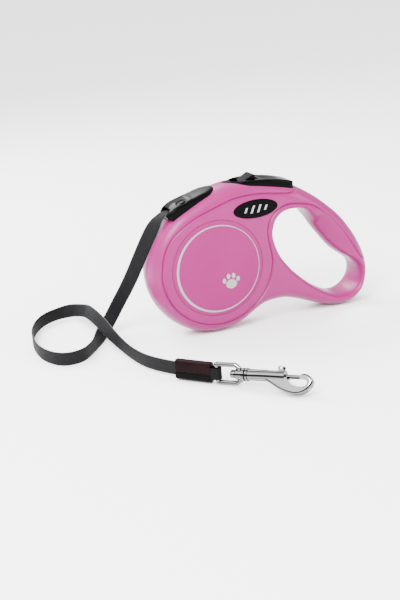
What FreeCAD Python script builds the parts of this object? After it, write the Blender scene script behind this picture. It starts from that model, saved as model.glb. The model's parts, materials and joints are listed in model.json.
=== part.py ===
import FreeCAD, Part
import math
import os

# A hand-held retractable dog leash with its tape partly drawn out, standing upright.
# Frame: +X towards the hand grip, -Y is the front face, +Z up. Millimetres.
# Origin: the middle of the housing's footprint, on the surface it stands on.

V = FreeCAD.Vector
AXIS_Y = V(0, 1, 0)
AXIS_X = V(1, 0, 0)
AXIS_Z = V(0, 0, 1)

# ---------------------------------------------------------------- driving dimensions

# Housing
DISC_X = -32.0            # centre of the round body
DISC_Z = 42.5
DISC_R = 42.5
HALF_DEPTH = 13.0         # from the parting plane to a flat face
OFFSET_SAMPLES = 90
EDGE_R = 8.5              # rounding of the outer edge
HOLE_EDGE_R = 3.0         # rounding round the hand hole
WALL = 2.4
FACE_WALL = 2.2
INNER_EDGE_R = 6.5         # rounding of the hollow's outer edge
ARC_START = 112.0         # the round body is a true arc between these two angles
ARC_END = 304.0
ARC_STEP = 8.0
BACK_LINE = [(-1.0, 11.0), (7.0, 12.3), (15.5, 11.9), (25.0, 8.9), (35.0, 4.8), (45.0, 1.45), (54.5, 0.12),
             (63.4, 1.85), (70.4, 7.2), (73.9, 15.4), (74.5, 24.5), (72.2, 34.3), (66.2, 46.8),
             (57.6, 58.9), (46.8, 69.4), (35.2, 78.2), (23.4, 84.8), (11.0, 88.6), (-3.0, 91.2),
             (-16.5, 92.0), (-26.5, 90.4), (-37.5, 86.6)]
HAND_HOLE = [(8.4, 54.0), (9.1, 61.0), (12.2, 66.3), (17.8, 69.0), (25.4, 69.0), (31.5, 66.6),
             (35.0, 62.0), (38.0, 56.0), (43.0, 48.8), (51.0, 38.8), (57.8, 32.8), (63.6, 28.4),
             (67.0, 24.5), (67.9, 19.5), (66.0, 13.6), (61.8, 9.6), (55.8, 7.8), (48.8, 9.0),
             (39.5, 14.2), (31.2, 20.4), (20.6, 30.6), (12.2, 42.4)]

# Trim on the faces
PANEL_R = 29.8
PANEL_RECESS_R = 30.0
PANEL_T = 0.8
BADGE_X = -4.4
BADGE_Z = 75.2
BADGE_A = 14.8
BADGE_B = 5.7
BADGE_GAP = 0.1
BADGE_T = 1.4
BADGE_SEAT = 0.8

# Case screws, driven in from the rear
SCREW_ANGLES = [163.0, 230.0, 298.0]
SCREW_PITCH_R = 38.0
SCREW_EXTRA = [(29.0, 76.4), (64.6, 38.6)]
BOSS_R = 2.5
SCREW_R = 1.0
SCREW_BORE_R = 1.05
SCREW_HEAD_R = 1.9
SCREW_HEAD_T = 1.4
SCREW_SEAT_Y = 6.0
SCREW_TIP_Y = -8.0
COUNTERBORE_R = 2.05
DRIVE_R = 0.9
DRIVE_DEPTH = 0.8

# Spool and its spring
AXLE_R = 2.5
AXLE_SEAT_CLEAR = 0.02
AXLE_END_Y = 10.4
AXLE_BOSS_R = 5.4
AXLE_BOSS_Y = 7.5
JOURNAL_CLEAR = 0.06
SPOOL_HUB_R = 16.5
SPOOL_HUB_WALL = 1.9
SPOOL_HALF_W = 5.0
FLANGE_T = 1.5
FLANGE_R = 31.0
RATCHET_TIP_R = 34.4
RATCHET_TEETH = 16
RATCHET_DUTY = 0.36       # share of the pitch that a tooth fills
PAWL_ANGLE = 49.2         # a gap between two teeth waits under the pawl
COVER_R = 15.9
COVER_T = 1.2
FLANGE_BORE_R = 16.0
WASHER_R = 6.0
WASHER_T = 0.7
WASHER_CLEAR = 0.1
SPRING_T = 0.45
SPRING_HALF_W = 3.6
SPRING_R0 = 3.6
SPRING_PITCH = 1.5
SPRING_TURNS = 7
TAPE_W = 8.5
TAPE_T = 0.75
WINDING_R = 29.6
WINDING_CLEAR = 0.1

# Tape outlet
OUTLET_HALF_W = 9.0
OUTLET_PROFILE = [(-58.6, 75.6), (-59.3, 78.2), (-57.6, 81.6), (-52.5, 84.2), (-45.5, 86.4),
                  (-42.2, 87.0), (-40.6, 82.8), (-40.6, 76.0), (-50.0, 74.6)]
OUTLET_EDGE_R = 1.2
SLOT_HALF_W = 5.2
SLOT_H = 4.2
SLOT_FROM = (-38.0, 78.3)
SLOT_TO = (-64.0, 80.5)
PIN_R = 1.1
PIN_X = -57.3
PIN_Z = 76.9
PIN_HALF_L = 7.0
PLATE_PROFILE = [(-42.2, 87.0), (-37.5, 88.5), (-32.0, 90.0), (-26.8, 91.1), (-26.4, 88.4),
                 (-32.0, 86.8), (-40.6, 82.8)]
PLATE_END_X = -27.6
PLATE_HALF_W = 8.4

# Brake button and lock slider, drawn in a frame tilted with the top of the handle
BUTTON_X = 3.0
BUTTON_Z = 90.0
BUTTON_TILT = 8.0
BUTTON_PLAN = [(-23.0, 0.0), (-17.5, -5.6), (-10.0, -9.2), (0.0, -10.0), (12.0, -9.8), (20.6, -8.8),
               (22.6, -6.0), (22.8, 0.0)]
BUTTON_TOP = [(-23.4, -1.4), (-11.0, 0.5), (0.8, 1.5), (12.0, 1.3), (23.4, -0.1)]
BUTTON_SKIRT = -7.0
BUTTON_GAP = 0.35
BUTTON_WALL = 1.6
BUTTON_ROOF = -3.1        # underside of the button's roof
TAB_T = 1.2
TAB_OUT = 1.4
FRONT_TAB_TOP = -4.6
REAR_TAB_TOP = -6.5
TAB_ROOT = 4.0
TAB_HALF_W = 3.2
RIB_COUNT = 6
RIB_PITCH = 2.6
RIB_R = 0.45
RIB_FROM = 1.5
RIB_TO = 19.5
WINDOW = (-18.0, -0.6)
WINDOW_HALF_W = 5.3
WINDOW_FLOOR = -1.9
LOCK_BASE = (-12.4, -1.2)
LOCK_HALF_W = 4.9
LOCK_FLOOR = -1.8
LOCK_BASE_TOP = -0.5
LOCK_PEAK = (-4.5, 4.2)
PAWL_U = -10.0
PAWL_T = 2.0
PAWL_HALF_W = 2.2
PAWL_TOP = -4.0
PAWL_FOOT_L = 4.0
PAWL_FOOT_Y = 3.0
PAWL_FOOT_T = 0.9
PAWL_TIP = -20.8
PAWL_Y = -5.75            # over the ratchet flange
COIL_U = 10.0
COIL_R = 2.4
COIL_WIRE_R = 0.35
COIL_TURNS = 6
COIL_TOP = -3.2
COIL_BOTTOM = -14.6
SHELF_TOP = -15.0
SHELF_HALF_L = 4.0
SHELF_HALF_W = 5.0

# Free tape: from the outlet down to the floor, round a loop that passes over itself, to the snap
TAPE_TUBE_R = 1.45        # same section as the flat tape
TAPE_ROUTE = [(-48.5, 0.0, 79.3), (-58.5, -0.3, 80.4), (-65.0, -2.0, 76.0), (-71.0, -3.0, 68.0),
              (-76.3, -1.0, 57.5), (-79.5, 7.0, 44.5), (-82.5, 17.0, 31.5), (-85.8, 24.6, 21.2),
              (-89.2, 27.8, 13.6), (-94.2, 26.6, 7.6), (-100.0, 20.0, 5.0), (-106.5, 10.0, 4.4),
              (-112.8, 0.0, 4.4), (-122.0, -10.5, 4.4), (-135.0, -10.5, 4.4), (-142.8, 6.0, 4.4),
              (-142.2, 30.0, 4.4), (-136.0, 53.0, 4.4), (-123.5, 71.5, 4.4), (-105.0, 76.5, 5.2),
              (-99.5, 57.0, 9.5), (-101.8, 37.0, 14.2), (-101.8, 16.0, 14.2), (-100.6, -9.0, 10.0),
              (-97.8, -34.0, 6.8), (-92.0, -55.0, 6.6), (-82.0, -69.0, 6.6)]
ARC_SHARE = 0.45

# Sleeve, swivel and snap hook, drawn along their own line
END_X = -84.0
END_Y = -66.6
END_Z = 6.6
END_HEADING = -50.0
SLEEVE_L = 22.5
SLEEVE_H = 11.8
SLEEVE_T = 5.4
SLEEVE_R = 2.1
LOOP_CLEAR = 0.5
LOOP_HALF_W = 3.3         # the tape is folded narrower where it goes through the ring
RING_U = 25.6             # the ring's bar, from the start of the sleeve
RING_BAR_R = 1.3
RING_HALF_H = 5.3
RING_L = 14.2
RING_CORNER = (2.6, 1.8)
SNAP_LIFT = 3.5           # the snap's nose points up, standing on its hook
SNAP_ROLL = 34.0          # and its flat side leans back
EYE_BOSS_R = 3.0
EYE_BOSS_U = (12.0, 15.5)
SWIVEL_PIN_R = 1.3
SWIVEL_CLEAR = 0.07
PIN_HEAD_R = 2.3
PIN_HEAD_U = (8.6, 11.2)
COLLARS_U = [(15.9, 17.3), (18.3, 19.3)]
COLLAR_R = 3.7
NECK_R = 2.5
BARREL_R = 3.2
BARREL_U = (19.0, 41.3)
BORE_R = 1.9
BORE_U = (19.8, 40.7)
MOUTH_R = 1.22
HOOK_HALF_T = 2.4
HOOK_EDGE_R = 1.3
HOOK_OUTER = [(27.0, -2.4), (31.0, -3.3), (35.0, -5.3), (39.5, -7.5), (44.0, -9.0), (48.8, -9.7),
              (53.0, -8.7), (56.3, -6.2), (57.7, -3.3), (57.2, -0.7), (55.0, 1.3), (51.6, 1.9)]
HOOK_TIP = (50.4, 0.9)
HOOK_TIP_LOW = (50.4, -0.9)
HOOK_EYE = [(52.3, -0.9), (54.0, -1.5), (54.9, -2.9), (54.4, -4.3), (52.6, -5.2), (49.6, -5.3),
            (46.6, -4.6), (44.2, -2.9), (43.0, -0.9)]
HOOK_ROOT = [(40.0, -0.9), (40.0, 1.4), (27.0, 1.4)]
ROD_R = 1.15
ROD_HEAD_R = 1.83
ROD_U = (30.4, 50.0)
ROD_HEAD_L = 9.6
KNOB_U = 38.6
KNOB_R = 1.4
KNOB_TOP = 5.4
KNOB_CAP_R = 2.2
KNOB_CAP_T = 1.7
KNOB_EDGE_R = 0.6
KNOB_SLOT_HALF_W = 1.75
PLUNGER_TRAVEL = 6.0
PLUNGER_COIL_R = 1.3
PLUNGER_WIRE_R = 0.25
PLUNGER_TURNS = 8
PLUNGER_SPRING_GAP = 0.1
KNOB_SLOT_MORE = (0.6, 0.3)
KNOB_SLOT_TOP = 9.0
HOOK_RIM_L = 20.0         # the hook plate's two long rims are longer than this
RIVET_EDGE_R = 0.5

SAME = 0.01               # heights closer than this count as the same
OVERCUT = 1.0             # how far a cutting shape reaches past what it cuts
LOW_BAR = ((2.0, -1.0), (80.0, 31.0))
BADGE_EDGE_R = 0.5
OUTLET_FRONT = (-43.0, 75.0, 79.0)     # the rounded edges start before this X, and lie between these heights
PLATE_START_X = -45.0
PLATE_PLAN_Z = (70.0, 100.0)
UNDER_TOP_W = -40.0
UNDER_TOP_HALF = 15.0
BUTTON_BLOCK_TOP = 6.0
WELL_W = (-10.0, 8.0)
RIB_W = 1.55
LOCK_GAP = 0.2
LOCK_RAMP_FOOT = 0.5
LOCK_RAMP_END = 1.4
LOCK_PEAK_L = 1.0

# ---------------------------------------------------------------- helpers


def wire_from_points(points):
    """A closed wire of straight edges in the XZ plane."""
    corners = [V(x, 0, z) for x, z in points]
    return Part.makePolygon(corners + corners[:1])


def prism_y(points, y_from, y_to):
    """The XZ outline, filled from one Y to another."""
    face = Part.Face(wire_from_points(points))
    face.translate(V(0, y_from, 0))
    return face.extrude(V(0, y_to - y_from, 0))


def cylinder_y(x, z, radius, y_from, y_to):
    return Part.makeCylinder(radius, y_to - y_from, V(x, y_from, z), AXIS_Y)


def box_between(low, high):
    size = V(*high) - V(*low)
    return Part.makeBox(size.x, size.y, size.z, V(*low))


def cylinder_u(radius, u_from, u_to, v=0.0, w=0.0):
    return Part.makeCylinder(radius, u_to - u_from, V(u_from, v, w), AXIS_X)


def cut_all(shape, tools):
    for tool in tools:
        shape = shape.cut(tool)
    return shape


def rounded_path(points, label):
    """Straight runs joined by tangent arcs, each as large as its two runs allow."""
    corners = [V(*p) for p in points]
    start = corners[0]
    edges = []
    radii = []
    for before, corner, after in zip(corners, corners[1:], corners[2:]):
        come = (corner - before).normalize()
        go = (after - corner).normalize()
        turn = come.getAngle(go)
        reach = ARC_SHARE * min(corner.distanceToPoint(before), corner.distanceToPoint(after))
        radius = reach / math.tan(turn / 2)
        radii.append(round(radius, 1))
        first = corner - come * reach
        last = corner + go * reach
        inward = (go - come).normalize()
        middle = corner + inward * (radius / math.cos(turn / 2) - radius)
        edges.append(Part.LineSegment(start, first).toShape())
        edges.append(Part.Arc(first, middle, last).toShape())
        start = last
    edges.append(Part.LineSegment(start, corners[-1]).toShape())
    path = Part.Wire(edges)
    print(label, "length", round(path.Length, 1), "radii", radii)
    return path


def tube(points, radius, label):
    path = rounded_path(points, label)
    heading = V(*points[1]) - V(*points[0])
    section = Part.Wire(Part.makeCircle(radius, V(*points[0]), heading))
    solid = path.makePipeShell([section], True, False)
    expected = math.pi * radius ** 2 * path.Length
    print(label, "volume", round(solid.Volume, 1), "section times length", round(expected, 1))
    return solid


def coil_spring(turns, height, radius, wire_radius):
    """A round-wire compression spring along +Z from the origin, between its end wires' centres."""
    path = Part.makeHelix(height / turns, height, radius)
    section = Part.Wire(Part.makeCircle(wire_radius, V(radius, 0, 0), AXIS_Y))
    return Part.Wire(path).makePipeShell([section], True, True)


def save(name, shape):
    solids = shape.Solids
    result = solids[0] if len(solids) == 1 else Part.makeCompound(solids)
    if not result.isValid():
        print("INVALID", name)
    result.exportStep("parts/" + name + ".step")
    print(name, "solids", len(solids), "volume", round(result.Volume, 1))


# ---------------------------------------------------------------- housing


def disc_point(angle, radius=DISC_R):
    a = math.radians(angle)
    return V(DISC_X + radius * math.cos(a), 0, DISC_Z + radius * math.sin(a))


def closed_curve(points):
    curve = Part.BSplineCurve()
    curve.interpolate(Points=points, PeriodicFlag=True)
    return curve


def stepped(curve, distance, up):
    """A copy of a closed curve, moved sideways by the distance along tangent x up."""
    first, last = curve.FirstParameter, curve.LastParameter
    points = []
    for i in range(OFFSET_SAMPLES):
        t = first + (last - first) * i / OFFSET_SAMPLES
        sideways = curve.tangent(t)[0].cross(up).normalize()
        points.append(curve.value(t) + sideways * distance)
    return closed_curve(points)


def filled(curve):
    return Part.Face(Part.Wire([curve.toShape()]))


def outer_curve():
    """The round body, the bridge under the hand hole, the handle and the back as one smooth curve."""
    steps = int((ARC_END - ARC_START) / ARC_STEP)
    points = [disc_point(ARC_START + i * ARC_STEP) for i in range(steps + 1)]
    points += [V(x, 0, z) for x, z in BACK_LINE]
    return closed_curve(points)


def hole_curve():
    return closed_curve([V(x, 0, z) for x, z in HAND_HOLE])


def half_body(side):
    """One solid half with rounded edges. side is -1 for the front and 1 for the rear."""
    outer = filled(outer_curve()).extrude(V(0, side * HALF_DEPTH, 0))
    face_edges = [e for e in outer.Edges if abs(abs(e.BoundBox.YMin) - HALF_DEPTH) < SAME
                  and e.BoundBox.YLength < SAME]
    outer = outer.makeFillet(EDGE_R, face_edges)
    hole = filled(hole_curve()).extrude(V(0, side * HALF_DEPTH, 0))
    body = outer.cut(hole)
    rim = [e for e in body.Edges if e.BoundBox.YLength < SAME
           and abs(abs(e.BoundBox.YMin) - HALF_DEPTH) < SAME
           and e.BoundBox.XMin > 0]
    return body.makeFillet(HOLE_EDGE_R, rim)


def cavity(side):
    """The hollow: the outline stepped in by the wall, without the thin bar below the hand hole."""
    depth = HALF_DEPTH - FACE_WALL
    inner = filled(stepped(outer_curve(), WALL, AXIS_Y)).extrude(V(0, side * depth, 0))
    rim = [e for e in inner.Edges if abs(abs(e.BoundBox.YMin) - depth) < SAME and e.BoundBox.YLength < SAME]
    inner = inner.makeFillet(INNER_EDGE_R, rim)
    around_hole = filled(stepped(hole_curve(), WALL, AXIS_Y)).extrude(V(0, side * depth, 0))
    hollow = inner.cut(around_hole)
    low_bar = box_between((LOW_BAR[0][0], -HALF_DEPTH, LOW_BAR[0][1]), (LOW_BAR[1][0], HALF_DEPTH, LOW_BAR[1][1]))
    return hollow.cut(low_bar)


def screw_places():
    ring = [disc_point(a, SCREW_PITCH_R) for a in SCREW_ANGLES]
    return [(p.x, p.z) for p in ring] + SCREW_EXTRA


def panel_seat(side):
    near = min(side * HALF_DEPTH, side * (HALF_DEPTH - PANEL_T))
    return cylinder_y(DISC_X, DISC_Z, PANEL_RECESS_R, near, near + PANEL_T)


def oval(a, b, y_from, y_to):
    curve = Part.Ellipse(V(BADGE_X, y_from, BADGE_Z), a, b)
    curve.Axis = AXIS_Y
    curve.XAxis = AXIS_X
    return Part.Face(Part.Wire([curve.toShape()])).extrude(V(0, y_to - y_from, 0))


def badge_seat(side):
    ends = sorted([side * HALF_DEPTH, side * (HALF_DEPTH - BADGE_SEAT)])
    return oval(BADGE_A + BADGE_GAP, BADGE_B + BADGE_GAP, ends[0], ends[1])


def shell(side, outlet_block, button_well):
    deep = side * (HALF_DEPTH - FACE_WALL)
    body = half_body(side).cut(cavity(side))
    posts = []
    for x, z in screw_places():
        posts.append(cylinder_y(x, z, BOSS_R, min(0, deep), max(0, deep)))
    boss_ends = sorted([side * AXLE_BOSS_Y, deep])
    posts.append(cylinder_y(DISC_X, DISC_Z, AXLE_BOSS_R, boss_ends[0], boss_ends[1]))
    shelf_low = button_frame(box_between((COIL_U - SHELF_HALF_L, -SHELF_HALF_W, SHELF_TOP - 6.0),
                                         (COIL_U + SHELF_HALF_L, SHELF_HALF_W, SHELF_TOP)))
    half_space = box_between((-100, min(0, deep), -10), (100, max(0, deep), 110))
    outside_hole = filled(hole_curve()).extrude(V(0, 40, 0))
    outside_hole.translate(V(0, -20, 0))
    posts.append(shelf_low.common(half_space).cut(outside_hole))
    body = body.multiFuse(posts)
    seat_ends = sorted([side * (AXLE_END_Y + 0.1), side * (AXLE_BOSS_Y - 0.1)])
    tools = [panel_seat(side), badge_seat(side), outlet_block, button_well,
             cylinder_y(DISC_X, DISC_Z, AXLE_R + AXLE_SEAT_CLEAR, seat_ends[0], seat_ends[1])]
    for x, z in screw_places():
        tools.append(cylinder_y(x, z, SCREW_BORE_R, SCREW_TIP_Y - 0.5, SCREW_SEAT_Y + 0.1))
        tools.append(cylinder_y(x, z, COUNTERBORE_R, SCREW_SEAT_Y, HALF_DEPTH + 0.1))
    return cut_all(body, tools)


def case_screws():
    screws = []
    for x, z in screw_places():
        shank = cylinder_y(x, z, SCREW_R, SCREW_TIP_Y, SCREW_SEAT_Y)
        head = cylinder_y(x, z, SCREW_HEAD_R, SCREW_SEAT_Y, SCREW_SEAT_Y + SCREW_HEAD_T)
        drive = cylinder_y(x, z, DRIVE_R, SCREW_SEAT_Y + SCREW_HEAD_T - DRIVE_DEPTH,
                           SCREW_SEAT_Y + SCREW_HEAD_T)
        screws.append(shank.fuse(head).cut(drive))
    return Part.makeCompound(screws)


def panel(side):
    ends = sorted([side * HALF_DEPTH, side * (HALF_DEPTH - PANEL_T)])
    return cylinder_y(DISC_X, DISC_Z, PANEL_R, ends[0], ends[1])


def badge(side):
    ends = sorted([side * (HALF_DEPTH - BADGE_SEAT), side * (HALF_DEPTH - BADGE_SEAT + BADGE_T)])
    plate = oval(BADGE_A, BADGE_B, ends[0], ends[1])
    rim = [e for e in plate.Edges if abs(abs(e.BoundBox.YMin) - (HALF_DEPTH - BADGE_SEAT + BADGE_T)) < SAME
           and e.BoundBox.YLength < SAME]
    return plate.makeFillet(BADGE_EDGE_R, rim)


# ---------------------------------------------------------------- tape outlet


def outlet_block():
    block = prism_y(OUTLET_PROFILE, -OUTLET_HALF_W, OUTLET_HALF_W)
    before_x, low, high = OUTLET_FRONT
    long_edges = [e for e in block.Edges if e.BoundBox.YLength < SAME
                  and abs(abs(e.BoundBox.YMin) - OUTLET_HALF_W) < SAME
                  and e.BoundBox.XMin < before_x and e.BoundBox.ZMin > low and e.BoundBox.ZMax > high]
    return block.makeFillet(OUTLET_EDGE_R, long_edges)


def outlet_slot():
    start = V(SLOT_FROM[0], 0, SLOT_FROM[1])
    run = V(SLOT_TO[0], 0, SLOT_TO[1]) - start
    slot = Part.makeBox(run.Length, 2 * SLOT_HALF_W, SLOT_H, V(0, -SLOT_HALF_W, -SLOT_H / 2))
    slot.rotate(V(0, 0, 0), AXIS_Y, -math.degrees(math.atan2(run.z, run.x)))
    slot.translate(start)
    return slot


def guide_pin(clearance=0.0):
    return cylinder_y(PIN_X, PIN_Z, PIN_R + clearance, -PIN_HALF_L, PIN_HALF_L)


def plate_plan():
    """A tongue with a round end, seen from above."""
    low, high = PLATE_PLAN_Z
    end_x = PLATE_END_X - PLATE_HALF_W
    straight = box_between((PLATE_START_X, -PLATE_HALF_W, low), (end_x, PLATE_HALF_W, high))
    end = Part.makeCylinder(PLATE_HALF_W, high - low, V(end_x, 0, low), AXIS_Z)
    return straight.fuse(end)


def outlet_plate():
    return prism_y(PLATE_PROFILE, -PLATE_HALF_W, PLATE_HALF_W).common(plate_plan())


# ---------------------------------------------------------------- spool


def ratchet_flange():
    """The front flange, with square teeth round its rim."""
    y_from = -SPOOL_HALF_W - FLANGE_T
    ring = cylinder_y(DISC_X, DISC_Z, FLANGE_R, y_from, -SPOOL_HALF_W)
    pitch = 360.0 / RATCHET_TEETH
    half_tooth = pitch * RATCHET_DUTY / 2
    teeth = []
    for i in range(RATCHET_TEETH):
        middle = PAWL_ANGLE + pitch * (i + 0.5)
        corners = [disc_point(middle - half_tooth, FLANGE_R - 1.0),
                   disc_point(middle + half_tooth, FLANGE_R - 1.0),
                   disc_point(middle + half_tooth, RATCHET_TIP_R),
                   disc_point(middle - half_tooth, RATCHET_TIP_R)]
        teeth.append(prism_y([(p.x, p.z) for p in corners], y_from, -SPOOL_HALF_W))
    return ring.multiFuse(teeth).cut(cylinder_y(DISC_X, DISC_Z, FLANGE_BORE_R, y_from, -SPOOL_HALF_W))


def spool():
    hub = cylinder_y(DISC_X, DISC_Z, SPOOL_HUB_R, -SPOOL_HALF_W, SPOOL_HALF_W)
    flange = cylinder_y(DISC_X, DISC_Z, FLANGE_R, SPOOL_HALF_W, SPOOL_HALF_W + FLANGE_T)
    hollow = cylinder_y(DISC_X, DISC_Z, SPOOL_HUB_R - SPOOL_HUB_WALL, -SPOOL_HALF_W, SPOOL_HALF_W)
    bore = cylinder_y(DISC_X, DISC_Z, AXLE_R + JOURNAL_CLEAR, SPOOL_HALF_W, SPOOL_HALF_W + FLANGE_T)
    return hub.fuse(flange).cut(hollow).cut(bore)


def spring_cover():
    top = -SPOOL_HALF_W
    cover = cylinder_y(DISC_X, DISC_Z, COVER_R, top - COVER_T, top)
    return cover.cut(cylinder_y(DISC_X, DISC_Z, AXLE_R + JOURNAL_CLEAR, top - COVER_T, top))


def half_turns(offset):
    """Half-turn arcs that grow outwards, swapping between two centres."""
    step = SPRING_PITCH / 2
    arcs = []
    for i in range(2 * SPRING_TURNS):
        sign = 1 if i % 2 == 0 else -1
        centre = 0.0 if i % 2 == 0 else -step
        radius = SPRING_R0 + i * step + offset
        first = V(centre - sign * radius, 0, 0)
        middle = V(centre, 0, sign * radius)
        last = V(centre + sign * radius, 0, 0)
        arcs.append(Part.Arc(first, middle, last).toShape())
    return arcs, arcs[0].valueAt(arcs[0].FirstParameter), last


def power_spring():
    """A flat spiral of steel strip."""
    inner, inner_start, inner_end = half_turns(0.0)
    outer, outer_start, outer_end = half_turns(SPRING_T)
    caps = [Part.LineSegment(inner_start, outer_start).toShape(),
            Part.LineSegment(inner_end, outer_end).toShape()]
    wire = Part.Wire(Part.__sortEdges__(inner + outer + caps))
    strip = Part.Face(wire).extrude(V(0, 2 * SPRING_HALF_W, 0))
    strip.translate(V(DISC_X, -SPRING_HALF_W, DISC_Z))
    return strip


def tape_winding():
    ring = cylinder_y(DISC_X, DISC_Z, WINDING_R, -TAPE_W / 2, TAPE_W / 2)
    inside = SPOOL_HUB_R + WINDING_CLEAR
    return ring.cut(cylinder_y(DISC_X, DISC_Z, inside, -TAPE_W / 2, TAPE_W / 2))


def thrust_washers():
    washers = []
    for side in (-1, 1):
        near = SPOOL_HALF_W + FLANGE_T + WASHER_CLEAR
        ends = sorted([side * near, side * (near + WASHER_T)])
        ring = cylinder_y(DISC_X, DISC_Z, WASHER_R, ends[0], ends[1])
        washers.append(ring.cut(cylinder_y(DISC_X, DISC_Z, AXLE_R + JOURNAL_CLEAR, ends[0], ends[1])))
    return Part.makeCompound(washers)


# ---------------------------------------------------------------- brake button and lock


def button_frame(shape):
    """Moves a shape from the button's own frame (u, y, w) to its place."""
    placed = shape.copy()
    placed.rotate(V(0, 0, 0), AXIS_Y, BUTTON_TILT)
    placed.translate(V(BUTTON_X, 0, BUTTON_Z))
    return placed


def button_outline(grow):
    half = [V(u, y, 0) for u, y in BUTTON_PLAN]
    mirrored = [V(u, -y, 0) for u, y in BUTTON_PLAN[1:-1]]
    plan = closed_curve(half + mirrored[::-1])
    return filled(stepped(plan, grow, AXIS_Z)) if grow else filled(plan)


def plan_prism(grow, w_from, w_to):
    face = button_outline(grow)
    face.translate(V(0, 0, w_from))
    return face.extrude(V(0, 0, w_to - w_from))


def under_top():
    """Everything below the button's crowned top."""
    line = Part.BSplineCurve()
    line.interpolate([V(u, 0, w) for u, w in BUTTON_TOP])
    left, right = BUTTON_TOP[0], BUTTON_TOP[-1]
    low = [V(right[0], 0, UNDER_TOP_W), V(left[0], 0, UNDER_TOP_W)]
    edges = [line.toShape(),
             Part.LineSegment(V(right[0], 0, right[1]), low[0]).toShape(),
             Part.LineSegment(low[0], low[1]).toShape(),
             Part.LineSegment(low[1], V(left[0], 0, left[1])).toShape()]
    face = Part.Face(Part.Wire(edges))
    face.translate(V(0, -UNDER_TOP_HALF, 0))
    return face.extrude(V(0, 2 * UNDER_TOP_HALF, 0))


def brake_button():
    block = plan_prism(0, BUTTON_SKIRT, BUTTON_BLOCK_TOP).common(under_top())
    hollow = plan_prism(-BUTTON_WALL, BUTTON_SKIRT - OVERCUT, BUTTON_ROOF)
    nose_u, tail_u = BUTTON_PLAN[0][0], BUTTON_PLAN[-1][0]
    front_tab = box_between((nose_u - TAB_OUT, -TAB_HALF_W, FRONT_TAB_TOP - TAB_T),
                            (nose_u + TAB_ROOT, TAB_HALF_W, FRONT_TAB_TOP))
    rear_tab = box_between((tail_u - TAB_ROOT / 2, -TAB_HALF_W, REAR_TAB_TOP - TAB_T),
                           (tail_u + TAB_OUT, TAB_HALF_W, REAR_TAB_TOP))
    button = block.cut(hollow).multiFuse([front_tab, rear_tab])
    window = box_between((WINDOW[0], -WINDOW_HALF_W, WINDOW_FLOOR), (WINDOW[1], WINDOW_HALF_W, WELL_W[1]))
    nose = plan_prism(-BUTTON_WALL, *WELL_W)
    button = button.cut(window.common(nose))
    grooves = []
    first = -RIB_PITCH * (RIB_COUNT - 1) / 2
    for i in range(RIB_COUNT):
        grooves.append(cylinder_u(RIB_R, RIB_FROM, RIB_TO, first + i * RIB_PITCH, RIB_W))
    return cut_all(button, grooves)


def lock_slider():
    start, end = LOCK_BASE
    base = box_between((start, -LOCK_HALF_W, LOCK_FLOOR), (end - LOCK_GAP, LOCK_HALF_W, LOCK_BASE_TOP))
    foot = LOCK_BASE_TOP - LOCK_RAMP_FOOT
    peak_u, peak_w = LOCK_PEAK
    ramp = prism_y([(start, foot), (peak_u, peak_w), (peak_u + LOCK_PEAK_L, peak_w - LOCK_GAP),
                    (end - LOCK_RAMP_END, foot)], -LOCK_HALF_W, LOCK_HALF_W)
    return base.fuse(ramp)


def brake_pawl():
    blade = box_between((PAWL_U - PAWL_T / 2, PAWL_Y - PAWL_HALF_W / 2, PAWL_TIP),
                        (PAWL_U + PAWL_T / 2, PAWL_Y + PAWL_HALF_W / 2, PAWL_TOP))
    foot = box_between((PAWL_U - PAWL_FOOT_L / 2, PAWL_Y - PAWL_HALF_W / 2, PAWL_TOP),
                       (PAWL_U + PAWL_FOOT_L / 2, PAWL_FOOT_Y, PAWL_TOP + PAWL_FOOT_T))
    return blade.fuse(foot)


def brake_spring():
    height = COIL_TOP - COIL_BOTTOM - 2 * COIL_WIRE_R
    spring = coil_spring(COIL_TURNS, height, COIL_R, COIL_WIRE_R)
    spring.translate(V(COIL_U, 0, COIL_BOTTOM + COIL_WIRE_R))
    return spring


# ---------------------------------------------------------------- sleeve, swivel and snap


def end_frame(shape, lift=0.0):
    """Moves a shape from the sleeve's line (u forward, v sideways, w up) to its place."""
    placed = shape.copy()
    if lift:
        placed.rotate(V(RING_U, 0, 0), AXIS_Y, -lift)
    placed.rotate(V(0, 0, 0), AXIS_Z, END_HEADING)
    placed.translate(V(END_X, END_Y, END_Z))
    return placed


def snap_frame(shape, roll=0.0):
    """As end_frame, with u counted from the ring's bar, and turned about the snap's own line."""
    placed = shape.copy()
    placed.rotate(V(0, 0, 0), AXIS_X, -roll)
    placed.translate(V(RING_U, 0, 0))
    return end_frame(placed, SNAP_LIFT)


def tape_sleeve():
    block = box_between((0, -SLEEVE_T / 2, -SLEEVE_H / 2), (SLEEVE_L, SLEEVE_T / 2, SLEEVE_H / 2))
    long_edges = [e for e in block.Edges if e.BoundBox.XLength > SLEEVE_L - 0.1]
    return end_frame(block.makeFillet(SLEEVE_R, long_edges))


def tape_loop():
    """The folded end of the tape, which leaves the sleeve and goes round the ring's bar."""
    inner_r = RING_BAR_R + LOOP_CLEAR
    outer_r = inner_r + TAPE_T
    low = V(RING_U, 0, -LOOP_HALF_W)
    ring = Part.makeCylinder(outer_r, 2 * LOOP_HALF_W, low, AXIS_Z)
    legs = box_between((SLEEVE_L, -outer_r, -LOOP_HALF_W), (RING_U, outer_r, LOOP_HALF_W))
    hollow = Part.makeCylinder(inner_r, 2 * LOOP_HALF_W, low, AXIS_Z)
    gap = box_between((SLEEVE_L, -inner_r, -LOOP_HALF_W), (RING_U, inner_r, LOOP_HALF_W))
    return end_frame(ring.fuse(legs).cut(hollow.fuse(gap)))


def round_bar(points, radius):
    """Round wire bent through the points."""
    pieces = [Part.makeSphere(radius, V(*p)) for p in points[1:-1]]
    for a, b in zip(points, points[1:]):
        start, end = V(*a), V(*b)
        pieces.append(Part.makeCylinder(radius, start.distanceToPoint(end), start, end - start))
    return pieces[0].multiFuse(pieces[1:])


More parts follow.
